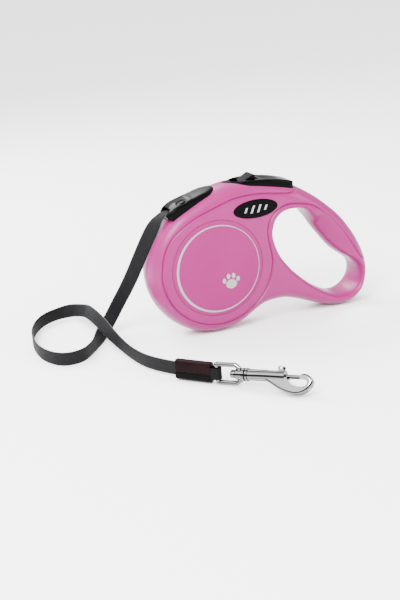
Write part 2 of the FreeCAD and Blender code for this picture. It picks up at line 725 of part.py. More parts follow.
def swivel_ring():
    h = RING_HALF_H
    back, up = RING_CORNER
    corners = [(0.0, h), (RING_L - back, h), (RING_L, h - up), (RING_L, up - h), (RING_L - back, -h), (0.0, -h)]
    route = [(u, 0.0, w) for u, w in [(0.0, 0.0)] + corners + [(0.0, 0.0)]]
    body = round_bar(route, RING_BAR_R).fuse(cylinder_u(EYE_BOSS_R, EYE_BOSS_U[0], EYE_BOSS_U[1]))
    bore = cylinder_u(SWIVEL_PIN_R + SWIVEL_CLEAR, EYE_BOSS_U[0] - 1, EYE_BOSS_U[1] + 1)
    return snap_frame(body.cut(bore))


def hook_plate():
    """The flat cast hook with its eye, open towards the plunger."""
    outer = Part.BSplineCurve()
    outer.interpolate([V(u, 0, w) for u, w in HOOK_OUTER])
    eye = Part.BSplineCurve()
    eye.interpolate([V(u, 0, w) for u, w in HOOK_EYE])
    corners = [HOOK_OUTER[-1], HOOK_TIP, HOOK_TIP_LOW, HOOK_EYE[0]]
    corners_back = [HOOK_EYE[-1]] + HOOK_ROOT + [HOOK_OUTER[0]]
    edges = [outer.toShape(), eye.toShape()]
    for chain in (corners, corners_back):
        for a, b in zip(chain, chain[1:]):
            edges.append(Part.LineSegment(V(a[0], 0, a[1]), V(b[0], 0, b[1])).toShape())
    face = Part.Face(Part.Wire(Part.__sortEdges__(edges)))
    face.translate(V(0, -HOOK_HALF_T, 0))
    plate = face.extrude(V(0, 2 * HOOK_HALF_T, 0))
    rim = [e for e in plate.Edges if e.BoundBox.YLength < SAME and e.BoundBox.XLength > HOOK_RIM_L]
    return plate.makeFillet(HOOK_EDGE_R, rim)


def snap_body():
    pieces = [cylinder_u(COLLAR_R, u[0], u[1]) for u in COLLARS_U]
    pieces.append(cylinder_u(NECK_R, COLLARS_U[0][1], COLLARS_U[1][0]))
    pieces.append(cylinder_u(SWIVEL_PIN_R, PIN_HEAD_U[1], COLLARS_U[0][0]))
    pieces.append(hook_plate())
    body = cylinder_u(BARREL_R, BARREL_U[0], BARREL_U[1]).multiFuse(pieces)
    bore = cylinder_u(BORE_R, BORE_U[0], BORE_U[1])
    mouth = cylinder_u(MOUTH_R, BORE_U[1], HOOK_TIP[0])
    slot_from = KNOB_U - PLUNGER_TRAVEL - KNOB_R - KNOB_SLOT_MORE[0]
    slot_to = KNOB_U + KNOB_R + KNOB_SLOT_MORE[1]
    slot = box_between((slot_from, -KNOB_SLOT_HALF_W, 0), (slot_to, KNOB_SLOT_HALF_W, KNOB_SLOT_TOP))
    return snap_frame(cut_all(body, [bore, mouth, slot]), SNAP_ROLL)


def swivel_rivet():
    head = cylinder_u(PIN_HEAD_R, PIN_HEAD_U[0], PIN_HEAD_U[1])
    return snap_frame(head.makeFillet(RIVET_EDGE_R, [head.Edges[0], head.Edges[2]]), SNAP_ROLL)


def snap_plunger():
    rod = cylinder_u(ROD_R, ROD_U[0], ROD_U[1])
    head = cylinder_u(ROD_HEAD_R, ROD_U[0], ROD_U[0] + ROD_HEAD_L)
    stem = box_between((KNOB_U - KNOB_R, -KNOB_R, 0), (KNOB_U + KNOB_R, KNOB_R, KNOB_TOP - KNOB_CAP_T))
    cap = Part.makeCylinder(KNOB_CAP_R, KNOB_CAP_T, V(KNOB_U, 0, KNOB_TOP - KNOB_CAP_T), AXIS_Z)
    cap = cap.makeFillet(KNOB_EDGE_R, [cap.Edges[0]])
    return snap_frame(rod.multiFuse([head, stem, cap]), SNAP_ROLL)


def plunger_spring():
    length = ROD_U[0] - BORE_U[0] - 2 * (PLUNGER_WIRE_R + PLUNGER_SPRING_GAP)
    spring = coil_spring(PLUNGER_TURNS, length, PLUNGER_COIL_R, PLUNGER_WIRE_R)
    spring.rotate(V(0, 0, 0), AXIS_Y, 90)
    spring.translate(V(BORE_U[0] + PLUNGER_WIRE_R + PLUNGER_SPRING_GAP, 0, 0))
    return snap_frame(spring, SNAP_ROLL)


# ---------------------------------------------------------------- build


def main():
    os.makedirs("parts", exist_ok=True)
    outlet = outlet_block()
    plate = outlet_plate()
    both = outlet.fuse(plate)
    well = button_frame(plan_prism(BUTTON_GAP, -12.0, 14.0))
    save("front_shell", shell(-1, both, well))
    save("rear_shell", shell(1, both, well))
    save("case_screws", case_screws())
    for side, name in ((-1, "front"), (1, "rear")):
        save(name + "_panel", panel(side))
        save(name + "_badge", badge(side))
    save("outlet_collar", outlet.cut(outlet_slot()).cut(guide_pin()))
    save("outlet_guide_pin", guide_pin())
    save("outlet_plate", plate)
    save("spool_axle", cylinder_y(DISC_X, DISC_Z, AXLE_R, -AXLE_END_Y, AXLE_END_Y))
    save("spool", spool())
    save("ratchet_flange", ratchet_flange())
    save("spring_cover", spring_cover())
    save("power_spring", power_spring())
    save("tape_winding", tape_winding())
    save("thrust_washers", thrust_washers())
    save("brake_button", button_frame(brake_button()))
    save("lock_slider", button_frame(lock_slider()))
    save("brake_pawl", button_frame(brake_pawl()))
    save("brake_spring", button_frame(brake_spring()))
    save("tape", tube(TAPE_ROUTE, TAPE_TUBE_R, "tape"))
    save("tape_sleeve", tape_sleeve())
    save("tape_loop", tape_loop())
    save("swivel_ring", swivel_ring())
    save("snap_body", snap_body())
    save("swivel_rivet", swivel_rivet())
    save("snap_plunger", snap_plunger())
    save("plunger_spring", plunger_spring())


main()
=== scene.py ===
import json
import math
import bmesh
import bpy
from mathutils import Matrix, Vector
from mathutils.geometry import delaunay_2d_cdt
from mathutils.kdtree import KDTree


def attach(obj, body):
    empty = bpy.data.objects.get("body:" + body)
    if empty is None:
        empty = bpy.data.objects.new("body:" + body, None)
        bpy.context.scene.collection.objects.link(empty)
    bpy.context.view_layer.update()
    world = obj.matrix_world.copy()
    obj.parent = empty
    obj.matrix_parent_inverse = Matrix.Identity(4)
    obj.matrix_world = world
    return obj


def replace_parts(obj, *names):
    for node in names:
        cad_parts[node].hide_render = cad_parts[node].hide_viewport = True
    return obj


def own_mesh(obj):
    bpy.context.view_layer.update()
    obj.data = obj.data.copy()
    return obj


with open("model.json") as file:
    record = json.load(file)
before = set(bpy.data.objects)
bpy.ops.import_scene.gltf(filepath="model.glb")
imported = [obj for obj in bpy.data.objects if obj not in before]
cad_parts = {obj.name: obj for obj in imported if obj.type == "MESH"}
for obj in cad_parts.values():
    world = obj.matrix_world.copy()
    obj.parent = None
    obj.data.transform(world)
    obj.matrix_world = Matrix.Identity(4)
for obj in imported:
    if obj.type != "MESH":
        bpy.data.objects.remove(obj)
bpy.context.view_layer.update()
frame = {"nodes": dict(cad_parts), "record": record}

NODES = frame["nodes"]
MM = 0.001

# ---------------------------------------------------------------- camera, floor and light

TARGET = Vector((-0.0336, 0.0180, 0.0139))
DISTANCE = 0.75
AZIMUTH = -21.26
ELEVATION = 18.17
ROLL = -4.85
LENS = 70.3
SENSOR = 36.0
CLIP_START = 0.01
FLOOR_SIZE = 24.0
FLOOR_COLOUR = (0.97, 0.97, 0.97)
FLOOR_ROUGHNESS = 0.9
FLOOR_SPECULAR = 0.1
SKY_AIM = (-0.40, -0.10, 0.9)
SKY_RAMP = [(0.0, (0.20, 0.20, 0.21)), (0.50, (0.35, 0.35, 0.36)), (0.75, (0.9, 0.9, 0.9)),
            (1.0, (1.0, 1.0, 1.0))]
SKY_STRENGTH = 3.2
LIGHTS = [("key", (-0.55, -0.55, 0.75), (-0.03, 0.0, 0.04), (0.5, 0.5), 26.0),
          ("fill", (0.65, -0.5, 0.35), (0.0, 0.0, 0.04), (0.5, 0.4), 5.0),
          ("back", (-0.25, 0.55, 0.6), (-0.03, 0.0, 0.05), (0.7, 0.4), 14.0)]


def camera_rotation(azimuth, elevation, roll):
    """The camera's axes as columns: right, up, back."""
    a = math.radians(azimuth)
    e = math.radians(elevation)
    back = Vector((math.sin(a) * math.cos(e), -math.cos(a) * math.cos(e), math.sin(e)))
    right = Vector((math.cos(a), math.sin(a), 0.0))
    up = back.cross(right)
    level = Matrix((right, up, back)).transposed()
    return Matrix.Rotation(math.radians(roll), 3, back) @ level


def make_camera():
    data = bpy.data.cameras.new("camera")
    data.lens = LENS
    data.sensor_fit = "VERTICAL"
    data.sensor_height = SENSOR
    data.clip_start = CLIP_START
    camera = bpy.data.objects.new("camera", data)
    bpy.context.scene.collection.objects.link(camera)
    turn = camera_rotation(AZIMUTH, ELEVATION, ROLL)
    camera.matrix_world = Matrix.Translation(TARGET + turn.col[2] * DISTANCE) @ turn.to_4x4()
    bpy.context.scene.camera = camera


def area_light(name, place, aim, size, power):
    data = bpy.data.lights.new(name, "AREA")
    data.shape = "RECTANGLE"
    data.size, data.size_y = size
    data.energy = power
    light = bpy.data.objects.new(name, data)
    bpy.context.scene.collection.objects.link(light)
    light.location = place
    light.rotation_euler = (Vector(aim) - Vector(place)).to_track_quat("-Z", "Y").to_euler()


def sky_colour(tree):
    """Bright over the front left, dark on the right and low down, so polished metal has something to show."""
    coordinates = tree.nodes.new("ShaderNodeTexCoord")
    aim = tree.nodes.new("ShaderNodeVectorMath")
    aim.operation = "DOT_PRODUCT"
    aim.inputs[1].default_value = Vector(SKY_AIM).normalized()
    tree.links.new(coordinates.outputs["Generated"], aim.inputs[0])
    spread = tree.nodes.new("ShaderNodeMapRange")
    spread.inputs["From Min"].default_value = -1.0
    tree.links.new(aim.outputs["Value"], spread.inputs["Value"])
    ramp = tree.nodes.new("ShaderNodeValToRGB")
    stops = ramp.color_ramp.elements
    stops[0].position, stops[0].color = SKY_RAMP[0][0], (*SKY_RAMP[0][1], 1.0)
    stops[1].position, stops[1].color = SKY_RAMP[-1][0], (*SKY_RAMP[-1][1], 1.0)
    for position, colour in SKY_RAMP[1:-1]:
        stops.new(position).color = (*colour, 1.0)
    tree.links.new(spread.outputs["Result"], ramp.inputs["Fac"])
    return ramp.outputs["Color"]


def make_studio():
    world = bpy.data.worlds.new("studio")
    world.use_nodes = True
    background = world.node_tree.nodes["Background"]
    world.node_tree.links.new(sky_colour(world.node_tree), background.inputs["Color"])
    background.inputs["Strength"].default_value = SKY_STRENGTH
    bpy.context.scene.world = world
    for light in LIGHTS:
        area_light(*light)
    bpy.ops.mesh.primitive_plane_add(size=FLOOR_SIZE, location=(0.0, 0.0, 0.0))
    floor = bpy.context.object
    floor.name = "floor"
    paint = bpy.data.materials.new("floor_white")
    paint.use_nodes = True
    shader = paint.node_tree.nodes["Principled BSDF"]
    shader.inputs["Base Color"].default_value = (*FLOOR_COLOUR, 1.0)
    shader.inputs["Roughness"].default_value = FLOOR_ROUGHNESS
    shader.inputs["Specular IOR Level"].default_value = FLOOR_SPECULAR
    floor.data.materials.append(paint)


# ---------------------------------------------------------------- materials


class Shade:
    """A Principled material with its nodes at hand."""

    def __init__(self, name, colour, roughness, metallic=0.0):
        self.material = bpy.data.materials.new(name)
        self.material.use_nodes = True
        self.tree = self.material.node_tree
        self.shader = self.tree.nodes["Principled BSDF"]
        self.set("Base Color", (*colour, 1.0))
        self.set("Roughness", roughness)
        self.set("Metallic", metallic)
        self.height = None

    def set(self, socket, value):
        self.shader.inputs[socket].default_value = value

    def node(self, kind, **values):
        made = self.tree.nodes.new(kind)
        for key, value in values.items():
            setattr(made, key, value)
        return made

    def link(self, a, b):
        self.tree.links.new(a, b)

    def coordinates(self, output="Object"):
        return self.node("ShaderNodeTexCoord").outputs[output]

    def noise(self, scale, detail=3.0):
        noise = self.node("ShaderNodeTexNoise")
        noise.inputs["Scale"].default_value = scale
        noise.inputs["Detail"].default_value = detail
        self.link(self.coordinates(), noise.inputs["Vector"])
        return noise.outputs["Fac"]

    def math(self, operation, a, b=None):
        made = self.node("ShaderNodeMath", operation=operation)
        for slot, value in zip(made.inputs, (a, b)):
            if value is None:
                continue
            if isinstance(value, (int, float)):
                slot.default_value = value
            else:
                self.link(value, slot)
        return made.outputs[0]

    def ramp(self, source, low, high, colour_low, colour_high):
        ramp = self.node("ShaderNodeValToRGB")
        ramp.color_ramp.elements[0].position = low
        ramp.color_ramp.elements[1].position = high
        ramp.color_ramp.elements[0].color = (*colour_low, 1.0)
        ramp.color_ramp.elements[1].color = (*colour_high, 1.0)
        self.link(source, ramp.inputs["Fac"])
        return ramp.outputs["Color"]

    def mix(self, factor, a, b):
        mix = self.node("ShaderNodeMix", data_type="RGBA")
        self.link(factor, mix.inputs["Factor"])
        self.link(a, mix.inputs["A"])
        self.link(b, mix.inputs["B"])
        return mix.outputs["Result"]

    def colour(self, source):
        self.link(source, self.shader.inputs["Base Color"])

    def rough(self, source, low, high):
        spread = self.node("ShaderNodeMapRange")
        spread.inputs["To Min"].default_value = low
        spread.inputs["To Max"].default_value = high
        self.link(source, spread.inputs["Value"])
        self.link(spread.outputs["Result"], self.shader.inputs["Roughness"])

    def bump(self, source, strength, distance):
        bump = self.node("ShaderNodeBump")
        bump.inputs["Strength"].default_value = strength
        bump.inputs["Distance"].default_value = distance
        self.link(source, bump.inputs["Height"])
        if self.height is not None:
            self.link(self.height, bump.inputs["Normal"])
        self.height = bump.outputs["Normal"]
        self.link(self.height, self.shader.inputs["Normal"])


# Noise scales are per metre, and bump distances are in metres. Tones are shares of a finish's own colour.
NOISE_ENDS = (0.3, 0.7)        # the stretch of a noise's values that a colour ramp covers
PATCH_SCALE = 35.0
PATCH_TONES = (0.96, 1.04)
GRAIN_SCALE = 2500.0
GRAIN_BUMP = (0.3, 0.00004)
SHEEN_SCALE = 120.0
SHEEN_SPREAD = (0.05, 0.06)
COAT_ROUGHNESS = 0.25
METAL_SCALE = 180.0
METAL_TONE = 0.92
METAL_SPREAD = (0.04, 0.08)
METAL_BUMP = 0.0001
SMOOTHEST = 0.02
WEAVE_COLUMNS = 13
WEAVE_PITCH = 0.0007
WEAVE_SLANT = 6.5
WEAVE_ENDS = (0.1, 0.9)
WEAVE_BASE = (0.03, 0.03, 0.032)
WEAVE_COLOURS = ((0.0006, 0.0006, 0.0008), (0.011, 0.011, 0.012))
WEAVE_ROUGHNESS = 0.62
WEAVE_SPECULAR = 0.06
WEAVE_BUMP = (0.5, 0.00012)
STITCH_FROM = 0.465            # how far from the middle the stitches begin, as a share of the width
STITCH_PITCH = 0.0011
STITCH_LEVEL = -0.1
STITCH_SCALE = 900.0
STITCH_COLOURS = ((0.09, 0.09, 0.094), (0.16, 0.16, 0.165))
STITCH_BUMP = (0.4, 0.0001)
LEATHER_SHADE_LINE = 0.0056         # the height of the sleeve's crease, in metres, under which shade is painted in
LEATHER_MIDDLE = 0.4
LEATHER_ROUGHNESS = (0.30, 0.46)
LEATHER_SPECULAR = 0.04
LEATHER_TONES = (0.7, 1.3)
LEATHER_SCALES = (1300.0, 90.0, 300.0)     # of the grain, the mottle and the sheen
LEATHER_BUMP = (0.25, 0.0001)
CHROME_BASE = (0.8, 0.8, 0.8)
CHROME_ROUGHNESS = 0.09
CHROME_SCALE = 60.0
CHROME_WAVE = 0.08
CHROME_TINT = 1.02
CHROME_REFLECTION_ENDS = (0.01, 0.12)     # the painted reflection's brightness at the very bottom and the very top
# Painted reflection bands: how far the surface faces up, from 0 to 1, and the brightness painted there.
CHROME_REFLECTION_BANDS = [(0.12, 0.010), (0.20, 0.07), (0.27, 0.34), (0.34, 0.10), (0.50, 0.15), (0.58, 0.008),
                (0.71, 0.010), (0.76, 0.36), (0.83, 0.30), (0.90, 0.10), (0.95, 0.02)]


def lighter(colour, factor):
    return tuple(min(1.0, c * factor) for c in colour)


def mottled(shade, source, colour, tones):
    """The colour between its darker and its lighter tone."""
    low, high = NOISE_ENDS
    return shade.ramp(source, low, high, lighter(colour, tones[0]), lighter(colour, tones[1]))


def moulded_plastic(name, colour, roughness, grain=GRAIN_SCALE, coat=0.0, specular=0.3):
    shade = Shade(name, colour, roughness)
    shade.colour(mottled(shade, shade.noise(PATCH_SCALE), colour, PATCH_TONES))
    fine = shade.noise(grain, detail=2.0)
    shade.rough(shade.noise(SHEEN_SCALE), roughness - SHEEN_SPREAD[0], roughness + SHEEN_SPREAD[1])
    shade.bump(fine, GRAIN_BUMP[0] * roughness, GRAIN_BUMP[1])
    shade.set("Specular IOR Level", specular)
    shade.set("Coat Weight", coat)
    shade.set("Coat Roughness", COAT_ROUGHNESS)
    return shade.material


def metal(name, colour, roughness, bump=0.05):
    shade = Shade(name, colour, roughness, 1.0)
    patches = shade.noise(METAL_SCALE, detail=4.0)
    shade.colour(mottled(shade, patches, colour, (METAL_TONE, 1.0)))
    shade.rough(patches, max(SMOOTHEST, roughness - METAL_SPREAD[0]), roughness + METAL_SPREAD[1])
    shade.bump(patches, bump, METAL_BUMP)
    return shade.material


def chrome(name):
    """Polished plating, with the light and dark bands of a studio painted in by the way the surface faces."""
    shade = Shade(name, CHROME_BASE, CHROME_ROUGHNESS, 1.0)
    split = shade.node("ShaderNodeSeparateXYZ")
    shade.link(shade.coordinates("Normal"), split.inputs["Vector"])
    ripple = shade.math("SUBTRACT", shade.noise(CHROME_SCALE, detail=2.0), 0.5)
    wave = shade.math("MULTIPLY", ripple, CHROME_WAVE)
    facing = shade.math("ADD", shade.math("MULTIPLY", split.outputs["Z"], 0.5), 0.5)
    # This ramp paints the studio's reflection into the base colour.
    ramp = shade.node("ShaderNodeValToRGB")
    shade.link(shade.math("ADD", facing, wave), ramp.inputs["Fac"])
    stops = ramp.color_ramp.elements
    for stop, position, tone in zip(stops, (0.0, 1.0), CHROME_REFLECTION_ENDS):
        stop.position, stop.color = position, (tone, tone, tone, 1.0)
    for position, tone in CHROME_REFLECTION_BANDS:
        stops.new(position).color = (tone, tone, tone * CHROME_TINT, 1.0)
    shade.colour(ramp.outputs["Color"])
    return shade.material


def webbing(name):
    """Twill weave with lighter dots along both edges. UV: u along in metres, v across from 0 to 1."""
    turn = 2 * math.pi
    shade = Shade(name, WEAVE_BASE, WEAVE_ROUGHNESS)
    split = shade.node("ShaderNodeSeparateXYZ")
    shade.link(shade.coordinates("UV"), split.inputs["Vector"])
    along, across = split.outputs["X"], split.outputs["Y"]
    warp = shade.math("SINE", shade.math("MULTIPLY", across, turn * WEAVE_COLUMNS))
    slant = shade.math("ADD", shade.math("MULTIPLY", along, turn / WEAVE_PITCH),
                       shade.math("MULTIPLY", across, turn * WEAVE_SLANT))
    weave = shade.math("MULTIPLY", warp, shade.math("SINE", slant))
    weave = shade.math("ADD", shade.math("MULTIPLY", weave, 0.5), 0.5)
    dark = shade.ramp(weave, *WEAVE_ENDS, *WEAVE_COLOURS)
    edge = shade.math("ABSOLUTE", shade.math("SUBTRACT", across, 0.5))
    rim = shade.math("GREATER_THAN", edge, STITCH_FROM)
    stitches = shade.math("SINE", shade.math("MULTIPLY", along, turn / STITCH_PITCH))
    dots = shade.math("MULTIPLY", rim, shade.math("GREATER_THAN", stitches, STITCH_LEVEL))
    pale = shade.ramp(shade.noise(STITCH_SCALE), *NOISE_ENDS, *STITCH_COLOURS)
    shade.colour(shade.mix(dots, dark, pale))
    shade.set("Specular IOR Level", WEAVE_SPECULAR)
    shade.bump(weave, *WEAVE_BUMP)
    shade.bump(dots, *STITCH_BUMP)
    return shade.material


def leather(name, upper, shaded_colour):
    """Dark hide above the sleeve's crease; under it a nearly black copy of the hide is painted shade for the
    sleeve's bottom side.
    """
    grain_scale, mottle_scale, sheen_scale = LEATHER_SCALES
    shade = Shade(name, upper, LEATHER_MIDDLE)
    grain = shade.node("ShaderNodeTexVoronoi")
    grain.inputs["Scale"].default_value = grain_scale
    shade.link(shade.coordinates(), grain.inputs["Vector"])
    split = shade.node("ShaderNodeSeparateXYZ")
    shade.link(shade.coordinates(), split.inputs["Vector"])
    # Under the crease height the hide takes a nearly black copy of its colour: painted shade for the sleeve's
    # bottom side.
    painted_shade_mask = shade.math("LESS_THAN", split.outputs["Z"], LEATHER_SHADE_LINE)
    mottle = shade.noise(mottle_scale, detail=5.0)
    shade.colour(shade.mix(painted_shade_mask, mottled(shade, mottle, upper, LEATHER_TONES),
                           mottled(shade, mottle, shaded_colour, LEATHER_TONES)))
    shade.rough(shade.noise(sheen_scale), *LEATHER_ROUGHNESS)
    shade.set("Specular IOR Level", LEATHER_SPECULAR)
    shade.bump(grain.outputs["Distance"], *LEATHER_BUMP)
    return shade.material


PINK = (0.195, 0.0030, 0.090)
MATERIALS = {
    "shell_pink": moulded_plastic("shell_pink", PINK, 0.34, coat=0.04, specular=0.24),
    "panel_pink": moulded_plastic("panel_pink", PINK, 0.45, coat=0.0, specular=0.2),
    "badge_silver": moulded_plastic("badge_silver", (0.0010, 0.0010, 0.0010), 0.10, specular=0.03),
    "black_gloss": moulded_plastic("black_gloss", (0.0010, 0.0010, 0.0010), 0.10, specular=0.03),
    "grey_satin": moulded_plastic("grey_satin", (0.012, 0.013, 0.013), 0.30, specular=0.05),
    "steel": metal("steel", (0.60, 0.60, 0.62), 0.25),
    "inner_plastic": moulded_plastic("inner_plastic", (0.02, 0.02, 0.022), 0.5),
    "spring_steel": metal("spring_steel", (0.40, 0.42, 0.46), 0.3),
    "webbing": webbing("webbing"),
    "webbing_fold": moulded_plastic("webbing_fold", (0.003, 0.003, 0.0035), 0.7, grain=1800.0, specular=0.06),
    # The leather's second colour is the painted shade under the sleeve's crease.
    "leather": leather("leather", (0.0048, 0.0009, 0.0011), (0.0008, 0.0006, 0.0006)),
    "chrome": chrome("chrome"),
    "trim_silver": metal("trim_silver", (0.36, 0.36, 0.36), 0.5, bump=0.01),
    "zinc": metal("zinc", (0.55, 0.55, 0.57), 0.35),
}


def dress(obj, name):
    obj.data.materials.clear()
    obj.data.materials.append(MATERIALS[name])


def dress_nodes():
    slots = {part["node"]: part["material_slot"] for part in frame["record"]["subparts"]}
    for name, obj in NODES.items():
        finish = "webbing_fold" if slots[name] == "webbing" else slots[name]
        for slot in obj.material_slots:
            slot.material = MATERIALS[finish]


# ---------------------------------------------------------------- pieces


def new_object(name, mesh, body, slot, replaces=()):
    obj = bpy.data.objects.new(name, mesh)
    bpy.context.scene.collection.objects.link(obj)
    dress(obj, slot)
    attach(obj, body)
    if replaces:
        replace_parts(obj, *replaces)
    return obj


def mesh_from(name, vertices, faces, smooth=True):
    mesh = bpy.data.meshes.new(name)
    mesh.from_pydata(vertices, [], faces)
    mesh.validate()
    for polygon in mesh.polygons:
        polygon.use_smooth = smooth
    return mesh


# ---------------------------------------------------------------- housing

DISC = (-32.0, 42.5)
DISC_R = 42.5
HALF_DEPTH = 13.0
ARC_FROM, ARC_TO, ARC_STEP = 112.0, 304.0, 8.0
BACK_LINE = [(-1.0, 11.0), (7.0, 12.3), (15.5, 11.9), (25.0, 8.9), (35.0, 4.8), (45.0, 1.45), (54.5, 0.12),
             (63.4, 1.85), (70.4, 7.2), (73.9, 15.4), (74.5, 24.5), (72.2, 34.3), (66.2, 46.8),
             (57.6, 58.9), (46.8, 69.4), (35.2, 78.2), (23.4, 84.8), (11.0, 88.6), (-3.0, 91.2),
             (-16.5, 92.0), (-26.5, 90.4), (-37.5, 86.6)]
HAND_HOLE = [(8.4, 54.0), (9.1, 61.0), (12.2, 66.3), (17.8, 69.0), (25.4, 69.0), (31.5, 66.6),
             (35.0, 62.0), (38.0, 56.0), (43.0, 48.8), (51.0, 38.8), (57.8, 32.8), (63.6, 28.4),
             (67.0, 24.5), (67.9, 19.5), (66.0, 13.6), (61.8, 9.6), (55.8, 7.8), (48.8, 9.0),
             (39.5, 14.2), (31.2, 20.4), (20.6, 30.6), (12.2, 42.4)]
# The long moulded line: a hook under the button, down the front, round under the disc and over the grip.
LINE_TOP = [(25.0, 82.0), (21.0, 80.6), (11.0, 82.0), (1.0, 83.5), (-9.0, 84.0), (-19.0, 83.3),
            (-29.0, 80.5), (-44.0, 75.5), (-54.0, 70.0), (-61.0, 64.0), (-66.0, 55.0)]
LINE_ARC = ((-31.5, 43.0), 36.7, 180.0, 358.0, 10.0)      # centre, radius, from, to and step in degrees
LINE_GRIP = [(4.0, 50.0), (3.0, 58.0), (4.5, 65.0), (9.0, 70.5), (15.0, 73.5), (21.0, 74.0),
             (29.0, 72.5), (36.0, 70.0), (46.0, 62.5), (54.0, 53.5), (61.0, 43.0), (66.0, 34.0), (69.0, 30.5)]
OUTER_WIDTH = 8.5         # how far in the outer rounding reaches
OUTER_POWER = 2.3
HOLE_WIDTH = 4.0
HOLE_POWER = 2.6
FACET_EDGE = 0.38         # half depth at the foot of the grip's slanted face, as a share
FACET_LIP = 2.2
FACET_POWER = 2.2
FACET_MIN, FACET_RISE = 6.0, 4.5       # the least span that has the slanted face, and how fast it comes in
FACET_SPAN, FACET_FALL = 24.0, 5.0     # the widest span that has it, and how fast it goes out
FACET_START = 0.14
FACET_FADE = 0.25
GROOVE_DEPTH = 0.9
GROOVE_WIDTH = 0.5
PANEL_RECESS = 0.8
PANEL_R = 30.0
PANEL_STEP = 0.05
SKIN = 2.2
SHARP = math.radians(32.0)
OUTLINE_STEP = 1.1
HOLE_STEP = 0.9
LINE_STEP = 0.8
CIRCLE_STEP = 2.5
LINE_ROWS = (0.35, -0.35, 0.8, -0.8, 1.4, -1.4)
ROW_GAP = 0.3
OUTER_RINGS = 9
HOLE_RINGS = 8
RING_CLEAR = 0.4
RING_SHARE = 0.7
GRID_FROM = -78.0
GRID_STEP = 1.5
GRID_COUNTS = (110, 70)
GRID_ROW = 0.9            # a row's height, as a share of the step
GRID_CLEAR = 1.0
GRID_GAP = 0.75
MERGE = 1e-6
BUTTON_PLACE = (3.0, 90.0)
BUTTON_TILT = 8.0
BUTTON_PLAN = [(-23.0, 0.0), (-17.5, -5.6), (-10.0, -9.2), (0.0, -10.0), (12.0, -9.8), (20.6, -8.8),
               (22.6, -6.0), (22.8, 0.0)]
BUTTON_STEP = 0.9
WELL_GROW = 0.35
WELL_W = (-12.0, 14.0)
SCREWS = [(-68.34, 53.61), (-56.43, 13.39), (-14.16, 8.95), (29.0, 76.4), (64.6, 38.6)]
SCREW_WELL = (2.05, 6.0, 15.0)         # radius, and the two ends
WELL_STEP = 12.0


def arc_points(centre, radius, start, stop, step):
    count = int(round(abs(stop - start) / step))
    turn = (stop - start) / count
    return [(centre[0] + radius * math.cos(math.radians(start + i * turn)),
             centre[1] + radius * math.sin(math.radians(start + i * turn))) for i in range(count + 1)]


def smooth_line(points, spacing, closed):
    """Catmull-Rom through 2D points, sampled about every spacing."""
    points = [Vector(p) for p in points]
    count = len(points)
    line = []
    for i in range(count if closed else count - 1):
        if closed:
            a, b, c, d = (points[(i + k) % count] for k in (-1, 0, 1, 2))
        else:
            a, b, c, d = (points[min(max(i + k, 0), count - 1)] for k in (-1, 0, 1, 2))
        steps = max(1, int(round((c - b).length / spacing)))
        for j in range(steps):
            t = j / steps
            line.append(0.5 * ((2 * b) + (c - a) * t + (2 * a - 5 * b + 4 * c - d) * t * t
                               + (3 * b - a - 3 * c + d) * t * t * t))
    if not closed:
        line.append(points[-1])
    return line


class Track:
    """A 2D polyline that can say how far a point is from it, and on which side."""

    def __init__(self, line, closed):
        self.line = line
        self.closed = closed
        self.tree = KDTree(len(line))
        for i, p in enumerate(line):
            self.tree.insert((p.x, p.y, 0.0), i)
        self.tree.balance()

    def signed(self, p):
        """The distance, positive on the left of the line's direction."""
        _, i, _ = self.tree.find((p.x, p.y, 0.0))
        best = None
        count = len(self.line)
        for j in (i - 1, i):
            if not self.closed and not 0 <= j < count - 1:
                continue
            a, b = self.line[j % count], self.line[(j + 1) % count]
            run = b - a
            t = min(1.0, max(0.0, (p - a).dot(run) / run.length_squared))
            off = p - (a + run * t)
            if best is None or off.length < abs(best):
                side = run.x * off.y - run.y * off.x
                best = off.length if side >= 0 else -off.length
        return best

    def offset(self, distance):
        count = len(self.line)
        moved = []
        for i, p in enumerate(self.line):
            before = self.line[(i - 1) % count if self.closed else max(i - 1, 0)]
            after = self.line[(i + 1) % count if self.closed else min(i + 1, count - 1)]
            run = (after - before).normalized()
            moved.append(p + Vector((-run.y, run.x)) * distance)
        return moved


def swell(t, power):
    """A rounded edge: 0 at t = 0, rising steeply to 1 at t = 1."""
    t = min(1.0, max(0.0, t))
    return (1 - (1 - t) ** power) ** (1 / power)


def ease(t):
    t = min(1.0, max(0.0, t))
    return t * t * (3 - 2 * t)


def ring_depths(width, power, count):
    """Distances from an edge that step evenly round its rounding."""
    return [width * (1 - math.cos(math.pi / 2 * i / count) ** (2 / power)) for i in range(1, count + 1)]


